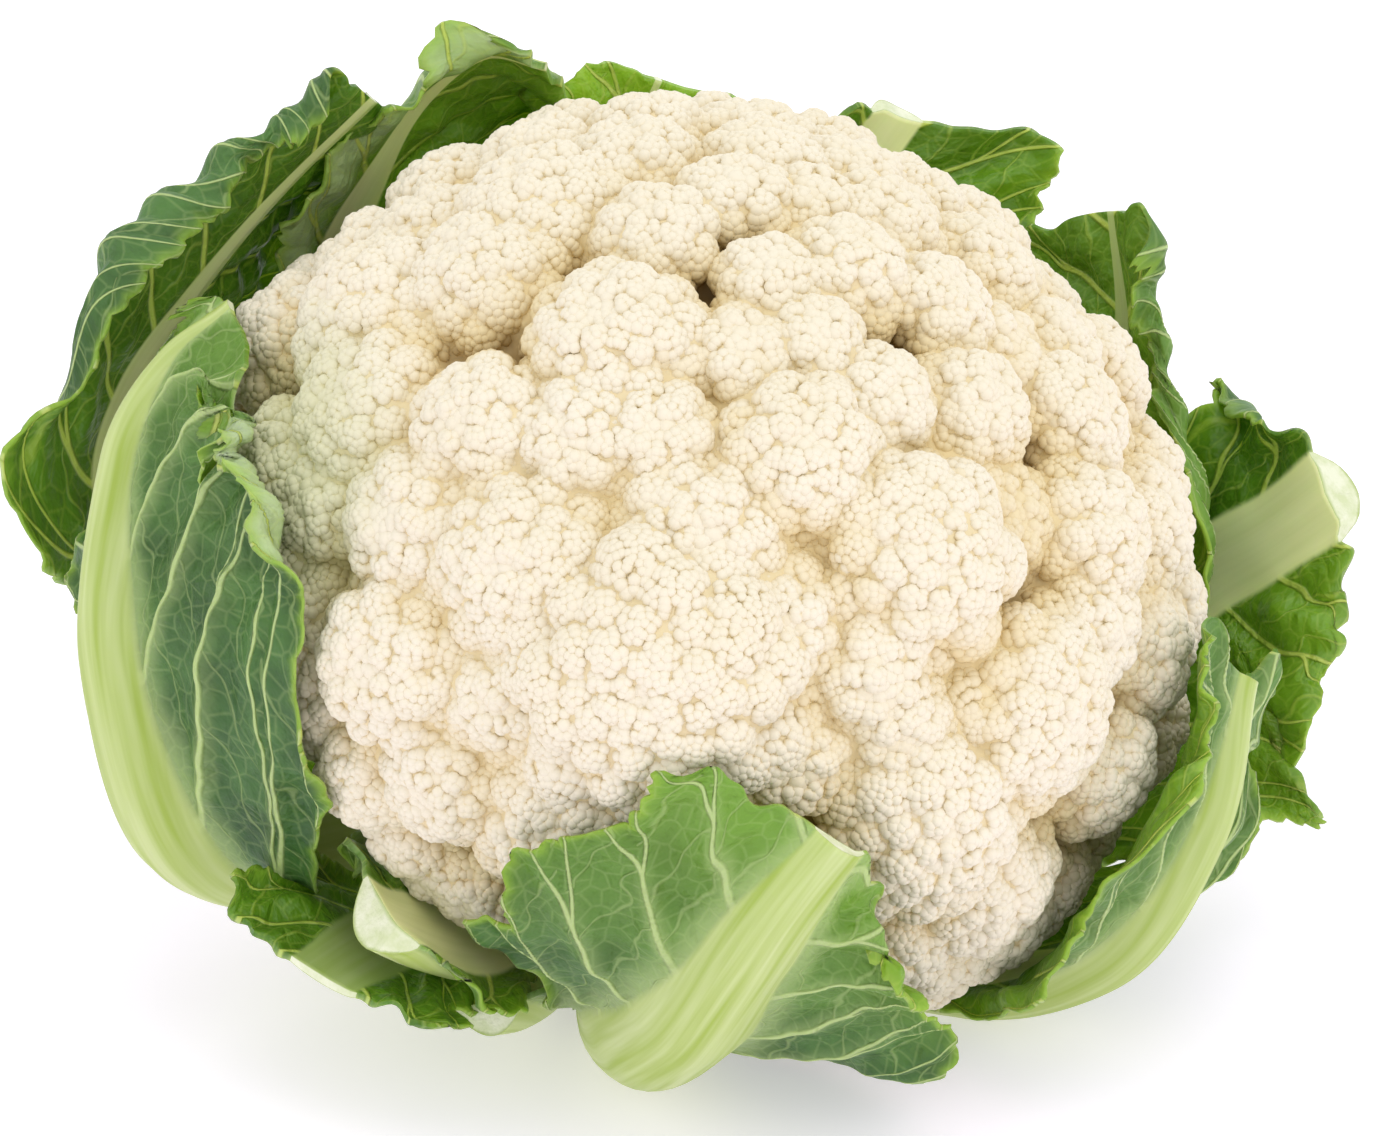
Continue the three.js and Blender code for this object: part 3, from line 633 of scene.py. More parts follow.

# %% [markdown]
# ## The leaves
#
# A cauliflower leaf is a stout pale rib with a waved blade on either side, trimmed at the top. Each
# one follows a spine from the stem round the curd. Its cross-section leaves the rib at the angle
# lean, turns by bend on its way out and by roll near the margin, and sweep draws it towards the tip.
# Angles are in degrees, positive outwards. Sizes are in millimetres. A list runs from the stem to the
# tip; left and right are as seen from outside with the tip up. Layer is how far a blade keeps off the
# curd, ruffle and waves the height and number of the waves along its margin, youth how yellow and
# bright its green is, and flush how green the inside of its rib. Youth is partly the yellower tissue of
# a young leaf and partly painted light, where light shines through the blade towards the tip or a face
# lies in shade.

# %% Spines and widths of the leaves
LEAVES = {
    "leaf_left": {
        "spine": [[206, 24, 28], [208, 46, 20], [211, 68, 20], [211, 89, 33], [205, 101, 51],
                  [196, 106, 67], [187, 108, 82], [180, 105, 97], [178, 98, 109]],
        "rib": {"width": [8, 10, 9.5, 7.5, 4.5, 1.5], "depth": [8, 9, 10, 8, 4.5, 0.6]},
        "left": {"width": [9, 12, 13, 14, 20, 12, 4], "lean": [-8, -8, -8, -8, 10, 8, 0],
                 "bend": [-25, -25, -25, -20, -5, 0, 0], "roll": 0},
        "right": {"width": [9, 11, 12, 21, 34, 45, 58, 50, 48, 42, 34], "lean": -12, "bend": -42,
                  "roll": [16, 16, 16, 16, 40, 10, 10, 120, 165, 150, 40], "roll_start": 0.72,
                  "slant": 38, "spacing": 25, "pale": 0.8},
        "ruffle": 4.2, "waves": 3.5, "layer": 6, "youth_and_painted_light": [0, 0, 0.05, 0.15, 0.6], "flush": 0.8},
    "leaf_upper_left": {
        "spine": [[168, 24, 16], [168, 56, 20], [170, 88, 34], [172, 106, 54], [169, 110, 70],
                  [162, 107, 88], [153, 103, 108], [146, 100, 126]],
        "rib": {"width": [8, 9, 8, 5, 3, 2], "depth": [8, 8, 7, 4, 2.5, 1.5]},
        "left": {"width": [9, 11, 22, 32, 36, 32, 18], "lean": 4, "bend": -20, "roll": -40},
        "right": {"width": [9, 11, 12, 15, 27, 36, 31, 20], "lean": [24, 24, 24, 26, 34, 36, 30],
                  "bend": 10, "roll": [0, 0, 0, 0, -30, -150, -170, -130], "roll_start": 0.5,
                  "spacing": 14},
        "ruffle": 4, "waves": 4, "layer": 12, "youth_and_painted_light": 0.1, "flush": 0.3},
    "leaf_top_left": {
        "spine": [[146, 24, 35], [145, 60, 43], [143, 91, 64], [141, 99, 86], [139, 101, 104],
                  [136, 102, 120], [132, 98, 133], [128, 88, 137]],
        "rib": {"width": [8, 9, 9, 7, 3, 0.8], "depth": [7, 8, 7, 4, 1.5, 0.4]},
        "left": {"width": [9, 11, 22, 38, 48, 50, 44], "lean": 0, "bend": -14,
                 "roll": [0, 0, 0, -20, -40, -40, -20], "roll_start": 0.66, "sweep": 4},
        "right": {"width": [9, 11, 16, 19, 20, 18, 12], "lean": 0, "bend": -10, "roll": 0, "pale": 0.6},
        "ruffle": 3, "waves": 3, "layer": 5, "youth_and_painted_light": [0.1, 0.1, 0.3, 0.5, 0.5]},
    "leaf_top": {
        "spine": [[106, 24, 36], [107, 60, 46], [108, 89, 74], [107, 100, 102], [106, 104, 124]],
        "rib": {"width": [7, 7, 5, 2.5, 0.8], "depth": [6, 6, 4, 2, 0.4]},
        "left": {"width": [8, 10, 18, 26, 32, 30], "lean": -4, "bend": -16, "roll": 24, "sweep": 6},
        "right": {"width": [8, 10, 14, 18, 20, 18], "lean": -4, "bend": -16, "roll": 20, "sweep": 6},
        "ruffle": 3.4, "waves": 4, "layer": 9, "youth_and_painted_light": 0.95, "flush": 0.4},
    "leaf_top_right": {
        "spine": [[78, 24, 22], [80, 60, 31], [81, 94, 58], [81, 107, 90], [81, 110, 114],
                  [80, 113, 128]],
        "rib": {"width": [8, 9, 8, 6, 5], "depth": [8, 8, 7, 5, 4]},
        "left": {"width": [9, 11, 26, 50, 52, 27], "lean": 0, "bend": -16, "roll": [24, 24, 20, -20, -50],
                 "roll_start": 0.66, "sweep": [0, 0, 0, 0, 20]},
        "right": {"width": [9, 11, 12, 12, 12, 12], "lean": 0, "bend": -10, "roll": 0},
        "ruffle": 5, "waves": 3.5, "layer": 8, "youth_and_painted_light": 0.25},
    "leaf_upper_right": {
        "spine": [[46, 24, 35], [44, 60, 46], [40, 88, 70], [40, 98, 96], [46, 103, 120],
                  [55, 106, 139]],
        "rib": {"width": [7, 7, 6, 3, 1], "depth": [6, 6, 4, 2, 0.5]},
        "left": {"width": [8, 12, 38, 54, 34, 14], "lean": -4, "bend": -18,
                 "roll": [26, 26, 10, -30, -130, -100], "roll_start": 0.6,
                 "youth_and_painted_light": [0.5, 0.5, 0.6, 0.6, 0.3]},
        "right": {"width": [8, 9, 30, 46, 48, 34], "lean": -4, "bend": -14, "roll": 30, "sweep": -4},
        "ruffle": 4, "waves": 3.5, "layer": 5, "youth_and_painted_light": 0.3, "flush": 0.7},
    "leaf_right": {
        "spine": [[16, 24, 23], [19, 58, 35], [23, 92, 62], [24, 107, 92], [21, 112, 110],
                  [18, 115, 128]],
        "rib": {"width": [8, 10, 10, 9, 9], "depth": [8, 9, 9, 8, 8]},
        "left": {"width": [9, 11, 22, 44, 58, 48, 16], "lean": 12, "bend": -20, "roll": 20, "youth_and_painted_light": 0.45},
        "right": {"width": [9, 11, 18, 30, 34, 24], "lean": 6, "bend": -10, "roll": -40},
        "ruffle": 4.5, "waves": 3.5, "layer": 12, "youth_and_painted_light": 0.1},
    "leaf_right_front": {
        "spine": [[330, 24, 25], [332, 48, 36], [332, 70, 45], [332, 87, 57], [333, 98, 73],
                  [336, 101, 89], [342, 99, 104], [350, 95, 118]],
        "rib": {"width": [8, 9, 9, 8, 6, 4], "depth": [8, 9, 9, 8, 6, 3]},
        "left": {"width": [9, 11, 22, 33, 33, 26], "lean": -8, "bend": -20,
                 "roll": [10, 10, 10, 40, 70, 60], "sweep": 10},
        "right": {"width": [9, 11, 46, 34, 32, 34], "lean": [0, 0, 4, 16, 24, 20], "bend": -20,
                  "roll": [0, 0, 10, -20, -40, -40], "sweep": 18},
        "ruffle": 3.2, "waves": 3, "layer": 5, "youth_and_painted_light": 0.35},
    "leaf_front": {
        "spine": [[292, 24, 22], [284, 46, 28], [280, 66, 37], [278, 84, 54], [277, 98, 80],
                  [278, 101, 101], [281, 98, 117]],
        "rib": {"width": [8, 11, 13, 11, 8, 5], "depth": [8, 10, 10, 8, 5, 2]},
        "left": {"width": [9, 12, 20, 40, 38, 28], "lean": -8, "bend": -26, "roll": 16, "slant": 58},
        "right": {"width": [9, 14, 40, 48, 36, 16], "lean": 5, "bend": -14, "roll": 12, "slant": 48},
        "ruffle": 3, "waves": 3.5, "layer": 6, "youth_and_painted_light": [0, 0, 0, 0.1, 0.45, 0.8]},
    "leaf_low_left": {
        "spine": [[231, 24, 13], [236, 50, 24], [239, 68, 33], [240, 84, 39], [240, 97, 41]],
        "rib": {"width": [6, 8, 9, 8, 7], "depth": [6, 6, 5, 2.5, 0.5]},
        "left": {"width": [7, 9, 16, 28, 26], "lean": 8, "bend": -6, "roll": [10, 10, -30, -50, -30],
                 "sweep": -4, "slant": 44, "spacing": 13},
        "right": {"width": [7, 9, 14, 21, 23], "lean": -6, "bend": -8, "roll": 10, "slant": 44,
                  "spacing": 13},
        "ruffle": 2.4, "waves": 2.5, "layer": 8, "youth_and_painted_light": 0.2, "flush": 0.8},
    "leaf_stub": {
        "spine": [[248, 24, 31], [251, 50, 35], [250, 67, 42], [246, 83, 52], [242, 91, 57]],
        "rib": {"width": [6, 8, 9, 9, 9], "depth": [6, 6, 7, 6.5, 6.5]},
        "left": {"width": [7, 9, 14, 26, 26], "lean": [0, 0, -15, -30, -37], "bend": -10,
                 "roll": [0, 0, 30, 80, 120], "pale": 0.4},
        "right": {"width": [7, 9, 14, 18, 15], "lean": [0, 0, 15, 30, 37], "bend": -14, "roll": 0},
        "ruffle": 1.6, "waves": 1.5, "layer": 3.5, "youth_and_painted_light": 0.3},
    "leaf_stub_low": {
        "spine": [[262, 24, 13], [263, 48, 23], [261, 64, 32], [257, 77, 39]],
        "rib": {"width": [5, 6, 7, 6.5], "depth": [5, 5, 5, 5]},
        "left": {"width": [6, 7, 11, 12], "lean": [0, 0, 15, 30], "bend": -10, "roll": 0},
        "right": {"width": [6, 7, 13, 20], "lean": [0, 0, -15, -30], "bend": 10, "roll": 40},
        "ruffle": 1.2, "waves": 1.5, "layer": 4, "youth_and_painted_light": 0.2},
}
print(len(LEAVES), "leaves")

# %% [markdown]
# ## The form of a blade
#
# The blade is worked out on a fine grid in flat leaf coordinates, millimetres along the rib and
# millimetres out from it, and only then bent into place. Keeping the flat coordinates means that
# veins, teeth and colours can be drawn on the leaf as on paper.

# %% Spine and cross-section of a leaf
STEM_RADIUS = 24.0
GAP = 0.35
BLADE = 1.2
STALK_TO_BLADE = (0.2, 0.5)
ROLL_START = 0.6
RUFFLE_GROWTH = 1.5
MARGIN_LOBES = 4.5
LOBE_DEPTH = 0.08
SECTION_STEPS = (np.arange(24) + 0.5) / 24
CURD_SOFTNESS = 0.03
TABLE_SOFTNESS = 0.8


def along(values, u):
    """Value of an evenly spaced list at the share u of its length, eased between neighbours."""
    values = np.asarray(values, float)
    place = u * (len(values) - 1)
    before = np.minimum(np.floor(place).astype(int), len(values) - 2)
    return values[before] + (values[before + 1] - values[before]) * smoothstep(place - before, 0, 1)


def eased(value, u):
    """A plain number as it is, or a list of values from stem to tip at the shares u."""
    return along(value, u)[:, None] if isinstance(value, list) else np.float64(value)


def spine_frame(spine, u):
    """Places and the three directions along a smooth curve through the spine, and its length."""
    knots = on_head(*np.array(spine, float).T)
    knots = np.vstack([2 * knots[0] - knots[1], knots, 2 * knots[-1] - knots[-2]])
    t = np.linspace(0, len(spine) - 1, 600)
    span = np.minimum(t.astype(int), len(spine) - 2)
    f = (t - span)[:, None]
    before, here, there, after = (knots[span + k] for k in range(4))
    curve = ((2 * f ** 3 - 3 * f ** 2 + 1) * here + (f ** 3 - 2 * f ** 2 + f) * (there - before) / 2
             + (3 * f ** 2 - 2 * f ** 3) * there + (f ** 3 - f ** 2) * (after - here) / 2)
    length = np.concatenate([[0], np.cumsum(np.linalg.norm(np.diff(curve, axis=0), axis=1))])
    place = np.stack([np.interp(u * length[-1], length, curve[:, k]) for k in range(3)], axis=-1)
    tangent = unit(np.gradient(place, axis=0))
    out = place - CURD_MIDDLE
    out = unit(out - tangent * np.sum(out * tangent, axis=1, keepdims=True))
    return place, out, np.cross(tangent, out), tangent, length[-1]


def keep_above(value, limit, softness):
    return limit + softness * np.logaddexp(0, (value - limit) / softness)


def clear_of_neighbours(points, layer):
    """Bends a blade clear of the curd and of the table."""
    away = points - CURD_MIDDLE
    share = np.linalg.norm(away, axis=-1) / curd_reach(unit(away))
    kept = keep_above(share, 1 + layer / CURD_RADIUS, CURD_SOFTNESS)
    points = CURD_MIDDLE + away * (kept / share)[..., None]
    height = points @ TABLE_UP
    return points + (keep_above(height, BLADE, TABLE_SOFTNESS) - height)[..., None] * TABLE_UP


print("table is up along", TABLE_UP.round(3), "of the upright head")

# %% [markdown]
# ## Veins and teeth
#
# Side veins leave the rib at a slant, swing towards the tip and fork on their way to the margin. A
# count over the flat blade is whole on every vein and grows by one from vein to vein. The mesh turns
# it into raised veins with the blade quilted between them, and the material turns the same count into
# crisp lines, far finer than the mesh. The margin is cut into uneven teeth.

# %% Veins, teeth and unevenness on the flat blade
VEIN_SPACING = 17.0
VEIN_SLANT = 52.0
VEIN_CURVE = 0.3
VEIN_WAVER, VEIN_WAVER_LENGTH = 1.8, 60.0
FORK_AT, FORK_SPREAD, FORK_TURN = 0.42, 0.16, 12.9
FORK_REACH = 0.25
TOOTH_LENGTH = 4.4
TOOTH_DEPTH = 1.3


def wander(along_mm, out_mm, wavelength, random):
    """A soft random unevenness between about -1 and 1, from a few crossing waves."""
    total = 0
    for _ in range(8):
        angle, phase = random.uniform(0, 2 * math.pi, 2)
        pitch = 2 * math.pi / (wavelength * random.uniform(0.7, 1.4))
        total = total + np.sin(pitch * (along_mm * math.cos(angle) + out_mm * math.sin(angle)) + phase)
    return total / 3.5


def vein_count(along_mm, beyond_mm, width, slant, spacing, random):
    """A count over the blade that is whole on every side vein."""
    behind = beyond_mm / math.tan(math.radians(slant)) + VEIN_CURVE * beyond_mm ** 2 / width
    return (along_mm - behind + VEIN_WAVER * wander(along_mm, beyond_mm, VEIN_WAVER_LENGTH, random)) / spacing


def vein_gap(count, way_out):
    """How far points are from the nearest vein, in parts of the spacing between veins."""
    number = np.round(count)
    fork = FORK_AT + FORK_SPREAD * np.sin(FORK_TURN * number)
    spread = FORK_REACH * np.clip((way_out - fork) / (1 - fork), 0, 1)
    return np.abs(np.abs(count - number) - spread)


print("teeth every", TOOTH_LENGTH, "mm, side veins every", VEIN_SPACING, "mm")

# %% [markdown]
# ## The skin of a leaf
#
# Both faces of a leaf share one living tissue that looks different from either side. The outer face
# has a bluish bloom of wax and is matt; the inner face is dark, saturated and glossier. The rib and
# the veins are pale because they hold no green, with long fibres that show as streaks; on the inner
# face the rib is painted paler still, as painted light where the lamps leave it in shade. Towards the
# margin the blade is thin and turns yellow-green, partly its own colour and partly a painted glow of
# light shining through the thin blade. The fine net between the veins is drawn with the cell edges of
# a Voronoi pattern. A leaf is one closed body, so here subsurface scattering works: light that falls
# on one face glows through to the other.

# %% Material of the leaves
OUTER_DARK, OUTER, OUTER_BRIGHT = "#1c4220", "#4b753a", "#7ba534"
INNER_DARK, INNER, INNER_BRIGHT = "#2f580a", "#4f7b1c", "#86b022"
VEIN_OUTER, VEIN_INNER = "#b3c783", "#b6c65c"
RIB_PALE, RIB_GREEN = "#c9d595", "#a3b850"
RIB_INNER_PALE_AND_LIT, RIB_FLUSH = "#f3f7bd", "#6d8c34"
MARGIN_GLOW_GREEN, MARGIN_PALE = "#8fb23a", "#bccf9f"
VEIN_WIDE, VEIN_NARROW = 0.046, 0.016
CROSS_SPACING = 7.5 * MM
CROSS_HALF_WIDTH = 0.03
NET_CELL = 3.4 * MM
VEIN_HALO_REACH, VEIN_HALO = 0.22, 0.5
RIB_HALO_REACH, RIB_HALO = 1.8, 0.55

blade, tree = new_material("cauliflower leaf")
flat = add_node(tree, "ShaderNodeUVMap", uv_map="flat leaf")
split = add_node(tree, "ShaderNodeSeparateXYZ", {0: flat.outputs[0]})
outer = add_node(tree, "ShaderNodeAttribute", attribute_name="outer")
rib_across = add_node(tree, "ShaderNodeAttribute", attribute_name="rib")
rib = add_node(tree, "ShaderNodeMapRange", {
    "Value": rib_across.outputs["Fac"], 1: 1.08, 2: 0.9, 3: 0.0, 4: 1.0}, interpolation_type="SMOOTHSTEP")
count = add_node(tree, "ShaderNodeAttribute", attribute_name="vein count")
way_out = add_node(tree, "ShaderNodeAttribute", attribute_name="way out")
rim = add_node(tree, "ShaderNodeAttribute", attribute_name="rim")
pale = add_node(tree, "ShaderNodeAttribute", attribute_name="pale")
youth_and_painted_light = add_node(tree, "ShaderNodeAttribute", attribute_name="youth_and_painted_light")
flush = add_node(tree, "ShaderNodeAttribute", attribute_name="flush")

# Side veins: pale lines where the count is whole, each one parting in two at its own fork.
number = add_node(tree, "ShaderNodeMath", {0: count.outputs["Fac"]}, operation="ROUND")
off = add_node(tree, "ShaderNodeMath", {
    0: count.outputs["Fac"], 1: number.outputs[0]}, operation="SUBTRACT")
off_size = add_node(tree, "ShaderNodeMath", {0: off.outputs[0]}, operation="ABSOLUTE")
turn = add_node(tree, "ShaderNodeMath", {0: number.outputs[0], 1: FORK_TURN}, operation="MULTIPLY")
swing = add_node(tree, "ShaderNodeMath", {0: turn.outputs[0]}, operation="SINE")
fork = add_node(tree, "ShaderNodeMath", {
    0: swing.outputs[0], 1: FORK_SPREAD, 2: FORK_AT}, operation="MULTIPLY_ADD")
spread = add_node(tree, "ShaderNodeMapRange", {
    "Value": way_out.outputs["Fac"], 1: fork.outputs[0], 2: 1.0, 3: 0.0, 4: FORK_REACH})
from_fork = add_node(tree, "ShaderNodeMath", {
    0: off_size.outputs[0], 1: spread.outputs[0]}, operation="SUBTRACT")
vein_away = add_node(tree, "ShaderNodeMath", {0: from_fork.outputs[0]}, operation="ABSOLUTE")
vein_width = add_node(tree, "ShaderNodeMapRange", {
    "Value": way_out.outputs["Fac"], 1: 0.0, 2: 1.0, 3: VEIN_WIDE, 4: VEIN_NARROW})
vein_ratio = add_node(tree, "ShaderNodeMath", {
    0: vein_away.outputs[0], 1: vein_width.outputs[0]}, operation="DIVIDE")
vein = add_node(tree, "ShaderNodeMapRange", {
    "Value": vein_ratio.outputs[0], 1: 1.7, 2: 0.5, 3: 0.0, 4: 0.95}, interpolation_type="SMOOTHSTEP")

# Cross veins: finer rungs between neighbouring side veins, shifted at random from gap to gap.
gap_floor = add_node(tree, "ShaderNodeMath", {0: count.outputs["Fac"]}, operation="FLOOR")
shift = add_node(tree, "ShaderNodeTexWhiteNoise", {"W": gap_floor.outputs[0]}, noise_dimensions="1D")
waver = add_node(tree, "ShaderNodeTexNoise", {
    "Vector": flat.outputs[0], "Scale": 1 / (9 * MM), "Detail": 1.0})
rungs = add_node(tree, "ShaderNodeMath", {0: split.outputs["Y"], 1: CROSS_SPACING}, operation="DIVIDE")
shifted = add_node(tree, "ShaderNodeMath", {
    0: rungs.outputs[0], 1: shift.outputs["Value"]}, operation="ADD")
rung = add_node(tree, "ShaderNodeMath", {
    0: waver.outputs["Fac"], 1: 1.3, 2: shifted.outputs[0]}, operation="MULTIPLY_ADD")
rung_away = add_node(tree, "ShaderNodeMath", {0: rung.outputs[0], 1: 0.5}, operation="PINGPONG")
cross = add_node(tree, "ShaderNodeMapRange", {
    "Value": rung_away.outputs[0], 1: 1.8 * CROSS_HALF_WIDTH, 2: 0.5 * CROSS_HALF_WIDTH, 3: 0.0, 4: 0.34})

# The finest net: small cells that mostly show as a slight crinkle.
net = add_node(tree, "ShaderNodeTexVoronoi", {
    "Vector": flat.outputs[0], "Scale": 1 / NET_CELL}, feature="DISTANCE_TO_EDGE", voronoi_dimensions="2D")
net_line = add_node(tree, "ShaderNodeMapRange", {
    "Value": net.outputs["Distance"], 1: 0.1, 2: 0.0, 3: 0.0, 4: 0.16})
lines = add_node(tree, "ShaderNodeMath", {
    0: vein.outputs[0], 1: cross.outputs[0]}, operation="MAXIMUM")
all_lines = add_node(tree, "ShaderNodeMath", {
    0: lines.outputs[0], 1: net_line.outputs[0]}, operation="MAXIMUM")
clouds = add_node(tree, "ShaderNodeTexNoise", {
    "Vector": flat.outputs[0], "Scale": 1 / (16 * MM), "Detail": 4.0, "Roughness": 0.6})
cloud = add_node(tree, "ShaderNodeMapRange", {"Value": clouds.outputs["Fac"], 1: 0.32, 2: 0.68})

outer_low = add_node(tree, "ShaderNodeMix", {
    0: cloud.outputs[0], 6: linear(OUTER_DARK), 7: linear(OUTER)}, data_type="RGBA")
# youth: the yellower green of young tissue, and painted light that brightens tips and faces in shade
outer_skin = add_node(tree, "ShaderNodeMix", {
    0: youth_and_painted_light.outputs["Fac"], 6: outer_low.outputs[2], 7: linear(OUTER_BRIGHT)}, data_type="RGBA")
inner_low = add_node(tree, "ShaderNodeMix", {
    0: cloud.outputs[0], 6: linear(INNER_DARK), 7: linear(INNER)}, data_type="RGBA")
inner_skin = add_node(tree, "ShaderNodeMix", {
    0: youth_and_painted_light.outputs["Fac"], 6: inner_low.outputs[2], 7: linear(INNER_BRIGHT)}, data_type="RGBA")
skin_colour = add_node(tree, "ShaderNodeMix", {
    0: outer.outputs["Fac"], 6: inner_skin.outputs[2], 7: outer_skin.outputs[2]}, data_type="RGBA")
paled = add_node(tree, "ShaderNodeMix", {
    0: pale.outputs["Fac"], 6: skin_colour.outputs[2], 7: linear(MARGIN_PALE)}, data_type="RGBA")
# the margin's own yellow-green, with a painted glow of light shining through the thin blade
rimmed = add_node(tree, "ShaderNodeMix", {
    0: rim.outputs["Fac"], 6: paled.outputs[2], 7: linear(MARGIN_GLOW_GREEN)}, data_type="RGBA")

# On the outer face the pale tissue of the rib and of the side veins fades softly into the blade.
beside_vein = add_node(tree, "ShaderNodeMapRange", {
    "Value": vein_away.outputs[0], 1: VEIN_HALO_REACH, 2: 0.02, 3: 0.0, 4: VEIN_HALO},
    interpolation_type="SMOOTHSTEP")
inward = add_node(tree, "ShaderNodeMapRange", {"Value": way_out.outputs["Fac"], 1: 0.75, 2: 0.05})
vein_halo = add_node(tree, "ShaderNodeMath", {
    0: beside_vein.outputs[0], 1: inward.outputs[0]}, operation="MULTIPLY")
rib_halo = add_node(tree, "ShaderNodeMapRange", {
    "Value": rib_across.outputs["Fac"], 1: RIB_HALO_REACH, 2: 1.0, 3: 0.0, 4: RIB_HALO},
    interpolation_type="SMOOTHSTEP")
halo = add_node(tree, "ShaderNodeMath", {
    0: vein_halo.outputs[0], 1: rib_halo.outputs[0]}, operation="MAXIMUM")
outer_halo = add_node(tree, "ShaderNodeMath", {
    0: halo.outputs[0], 1: outer.outputs["Fac"]}, operation="MULTIPLY")
haloed = add_node(tree, "ShaderNodeMix", {
    0: outer_halo.outputs[0], 6: rimmed.outputs[2], 7: linear(VEIN_OUTER)}, data_type="RGBA")
vein_colour = add_node(tree, "ShaderNodeMix", {
    0: outer.outputs["Fac"], 6: linear(VEIN_INNER), 7: linear(VEIN_OUTER)}, data_type="RGBA")
veined = add_node(tree, "ShaderNodeMix", {
    0: all_lines.outputs[0], 6: haloed.outputs[2], 7: vein_colour.outputs[2]}, data_type="RGBA")
fibre_place = add_node(tree, "ShaderNodeMapping", {
    "Vector": flat.outputs[0], "Scale": (60 * MM, 2.2 * MM, 1)}, vector_type="TEXTURE")
fibres = add_node(tree, "ShaderNodeTexNoise", {
    "Vector": fibre_place.outputs[0], "Scale": 1.0, "Detail": 3.0})
fibre = add_node(tree, "ShaderNodeMapRange", {"Value": fibres.outputs["Fac"], 1: 0.35, 2: 0.68})
rib_colour = add_node(tree, "ShaderNodeMix", {
    0: fibre.outputs[0], 6: linear(RIB_PALE), 7: linear(RIB_GREEN)}, data_type="RGBA")
# inner face of the rib: its own pale colour, raised towards white as painted light where little light reaches
# it
inner_rib = add_node(tree, "ShaderNodeMix", {
    0: flush.outputs["Fac"], 6: linear(RIB_INNER_PALE_AND_LIT), 7: linear(RIB_FLUSH)}, data_type="RGBA")
inner_streaks = add_node(tree, "ShaderNodeMix", {
    0: 0.3, 6: inner_rib.outputs[2], 7: rib_colour.outputs[2]}, data_type="RGBA")
flushed = add_node(tree, "ShaderNodeMix", {
    0: outer.outputs["Fac"], 6: inner_streaks.outputs[2], 7: rib_colour.outputs[2]}, data_type="RGBA")
ribbed = add_node(tree, "ShaderNodeMix", {
    0: rib.outputs[0], 6: veined.outputs[2], 7: flushed.outputs[2]}, data_type="RGBA")
gloss = add_node(tree, "ShaderNodeMapRange", {
    "Value": outer.outputs["Fac"], 1: 0.0, 2: 1.0, 3: 0.36, 4: 0.5})
off_rib = add_node(tree, "ShaderNodeMath", {0: 1.0, 1: rib.outputs[0]}, operation="SUBTRACT")
crinkles = add_node(tree, "ShaderNodeTexNoise", {
    "Vector": flat.outputs[0], "Scale": 1 / (4.5 * MM), "Detail": 3.0})
crinkle_bump = add_node(tree, "ShaderNodeBump", {
    "Strength": off_rib.outputs[0], "Distance": 1.6 * MM, "Height": crinkles.outputs["Fac"]})
blister_bump = add_node(tree, "ShaderNodeBump", {
    "Strength": off_rib.outputs[0], "Distance": 0.5 * MM, "Height": net.outputs["Distance"],
    "Normal": crinkle_bump.outputs["Normal"]})
line_bump = add_node(tree, "ShaderNodeBump", {
    "Strength": off_rib.outputs[0], "Distance": 0.45 * MM, "Height": all_lines.outputs[0],
    "Normal": blister_bump.outputs["Normal"]})
shader = add_node(tree, "ShaderNodeBsdfPrincipled", {
    "Base Color": ribbed.outputs[2], "Roughness": gloss.outputs[0], "IOR": 1.42,
    "Subsurface Weight": 0.3, "Subsurface Radius": (0.8, 1.0, 0.35), "Subsurface Scale": 4 * MM,
    "Normal": line_bump.outputs["Normal"]})
add_node(tree, "ShaderNodeOutputMaterial", {"Surface": shader.outputs[0]})
print(blade.name, "has", len(tree.nodes), "nodes")

# %% [markdown]
# ## Cut ribs
#
# A knife has trimmed the leaves, and the thick ribs show it best: a wet, pale, slightly grainy face
# with a green edge. The cut shares the mesh of its leaf, so it is a second material on a few faces. The
# attribute that tells the outer face from the inner one runs from 1 to 0 across the cut, so it also
# tells how near the skin a point is.

# %% Material of fresh cuts
CUT_WHITE, CUT_GREEN, CUT_RIM = "#e9ecd0", "#d3dcae", "#a9bb6c"

cut, tree = new_material("fresh cut rib")
# A knife cut through a rib: wet, nearly white pith, clouded with green and greener under the skin.
place = add_node(tree, "ShaderNodeTexCoord")
pith = add_node(tree, "ShaderNodeTexNoise", {
    "Vector": place.outputs["Object"], "Scale": 1 / (3.5 * MM), "Detail": 4.0, "Roughness": 0.65})
pith_cloud = add_node(tree, "ShaderNodeMapRange", {"Value": pith.outputs["Fac"], 1: 0.38, 2: 0.66})
pith_colour = add_node(tree, "ShaderNodeMix", {
    0: pith_cloud.outputs[0], 6: linear(CUT_WHITE), 7: linear(CUT_GREEN)}, data_type="RGBA")
through = add_node(tree, "ShaderNodeAttribute", attribute_name="outer")
uneven = add_node(tree, "ShaderNodeMath", {
    0: pith.outputs["Fac"], 1: 0.16, 2: through.outputs["Fac"]}, operation="MULTIPLY_ADD")
from_skin = add_node(tree, "ShaderNodeMath", {0: uneven.outputs[0], 1: 0.58}, operation="SUBTRACT")
near_skin = add_node(tree, "ShaderNodeMath", {0: from_skin.outputs[0]}, operation="ABSOLUTE")
under_skin = add_node(tree, "ShaderNodeMapRange", {"Value": near_skin.outputs[0], 1: 0.38, 2: 0.5})
cut_colour = add_node(tree, "ShaderNodeMix", {
    0: under_skin.outputs[0], 6: pith_colour.outputs[2], 7: linear(CUT_RIM)}, data_type="RGBA")
grain = add_node(tree, "ShaderNodeTexNoise", {
    "Vector": place.outputs["Object"], "Scale": 1 / (0.9 * MM), "Detail": 2.0})
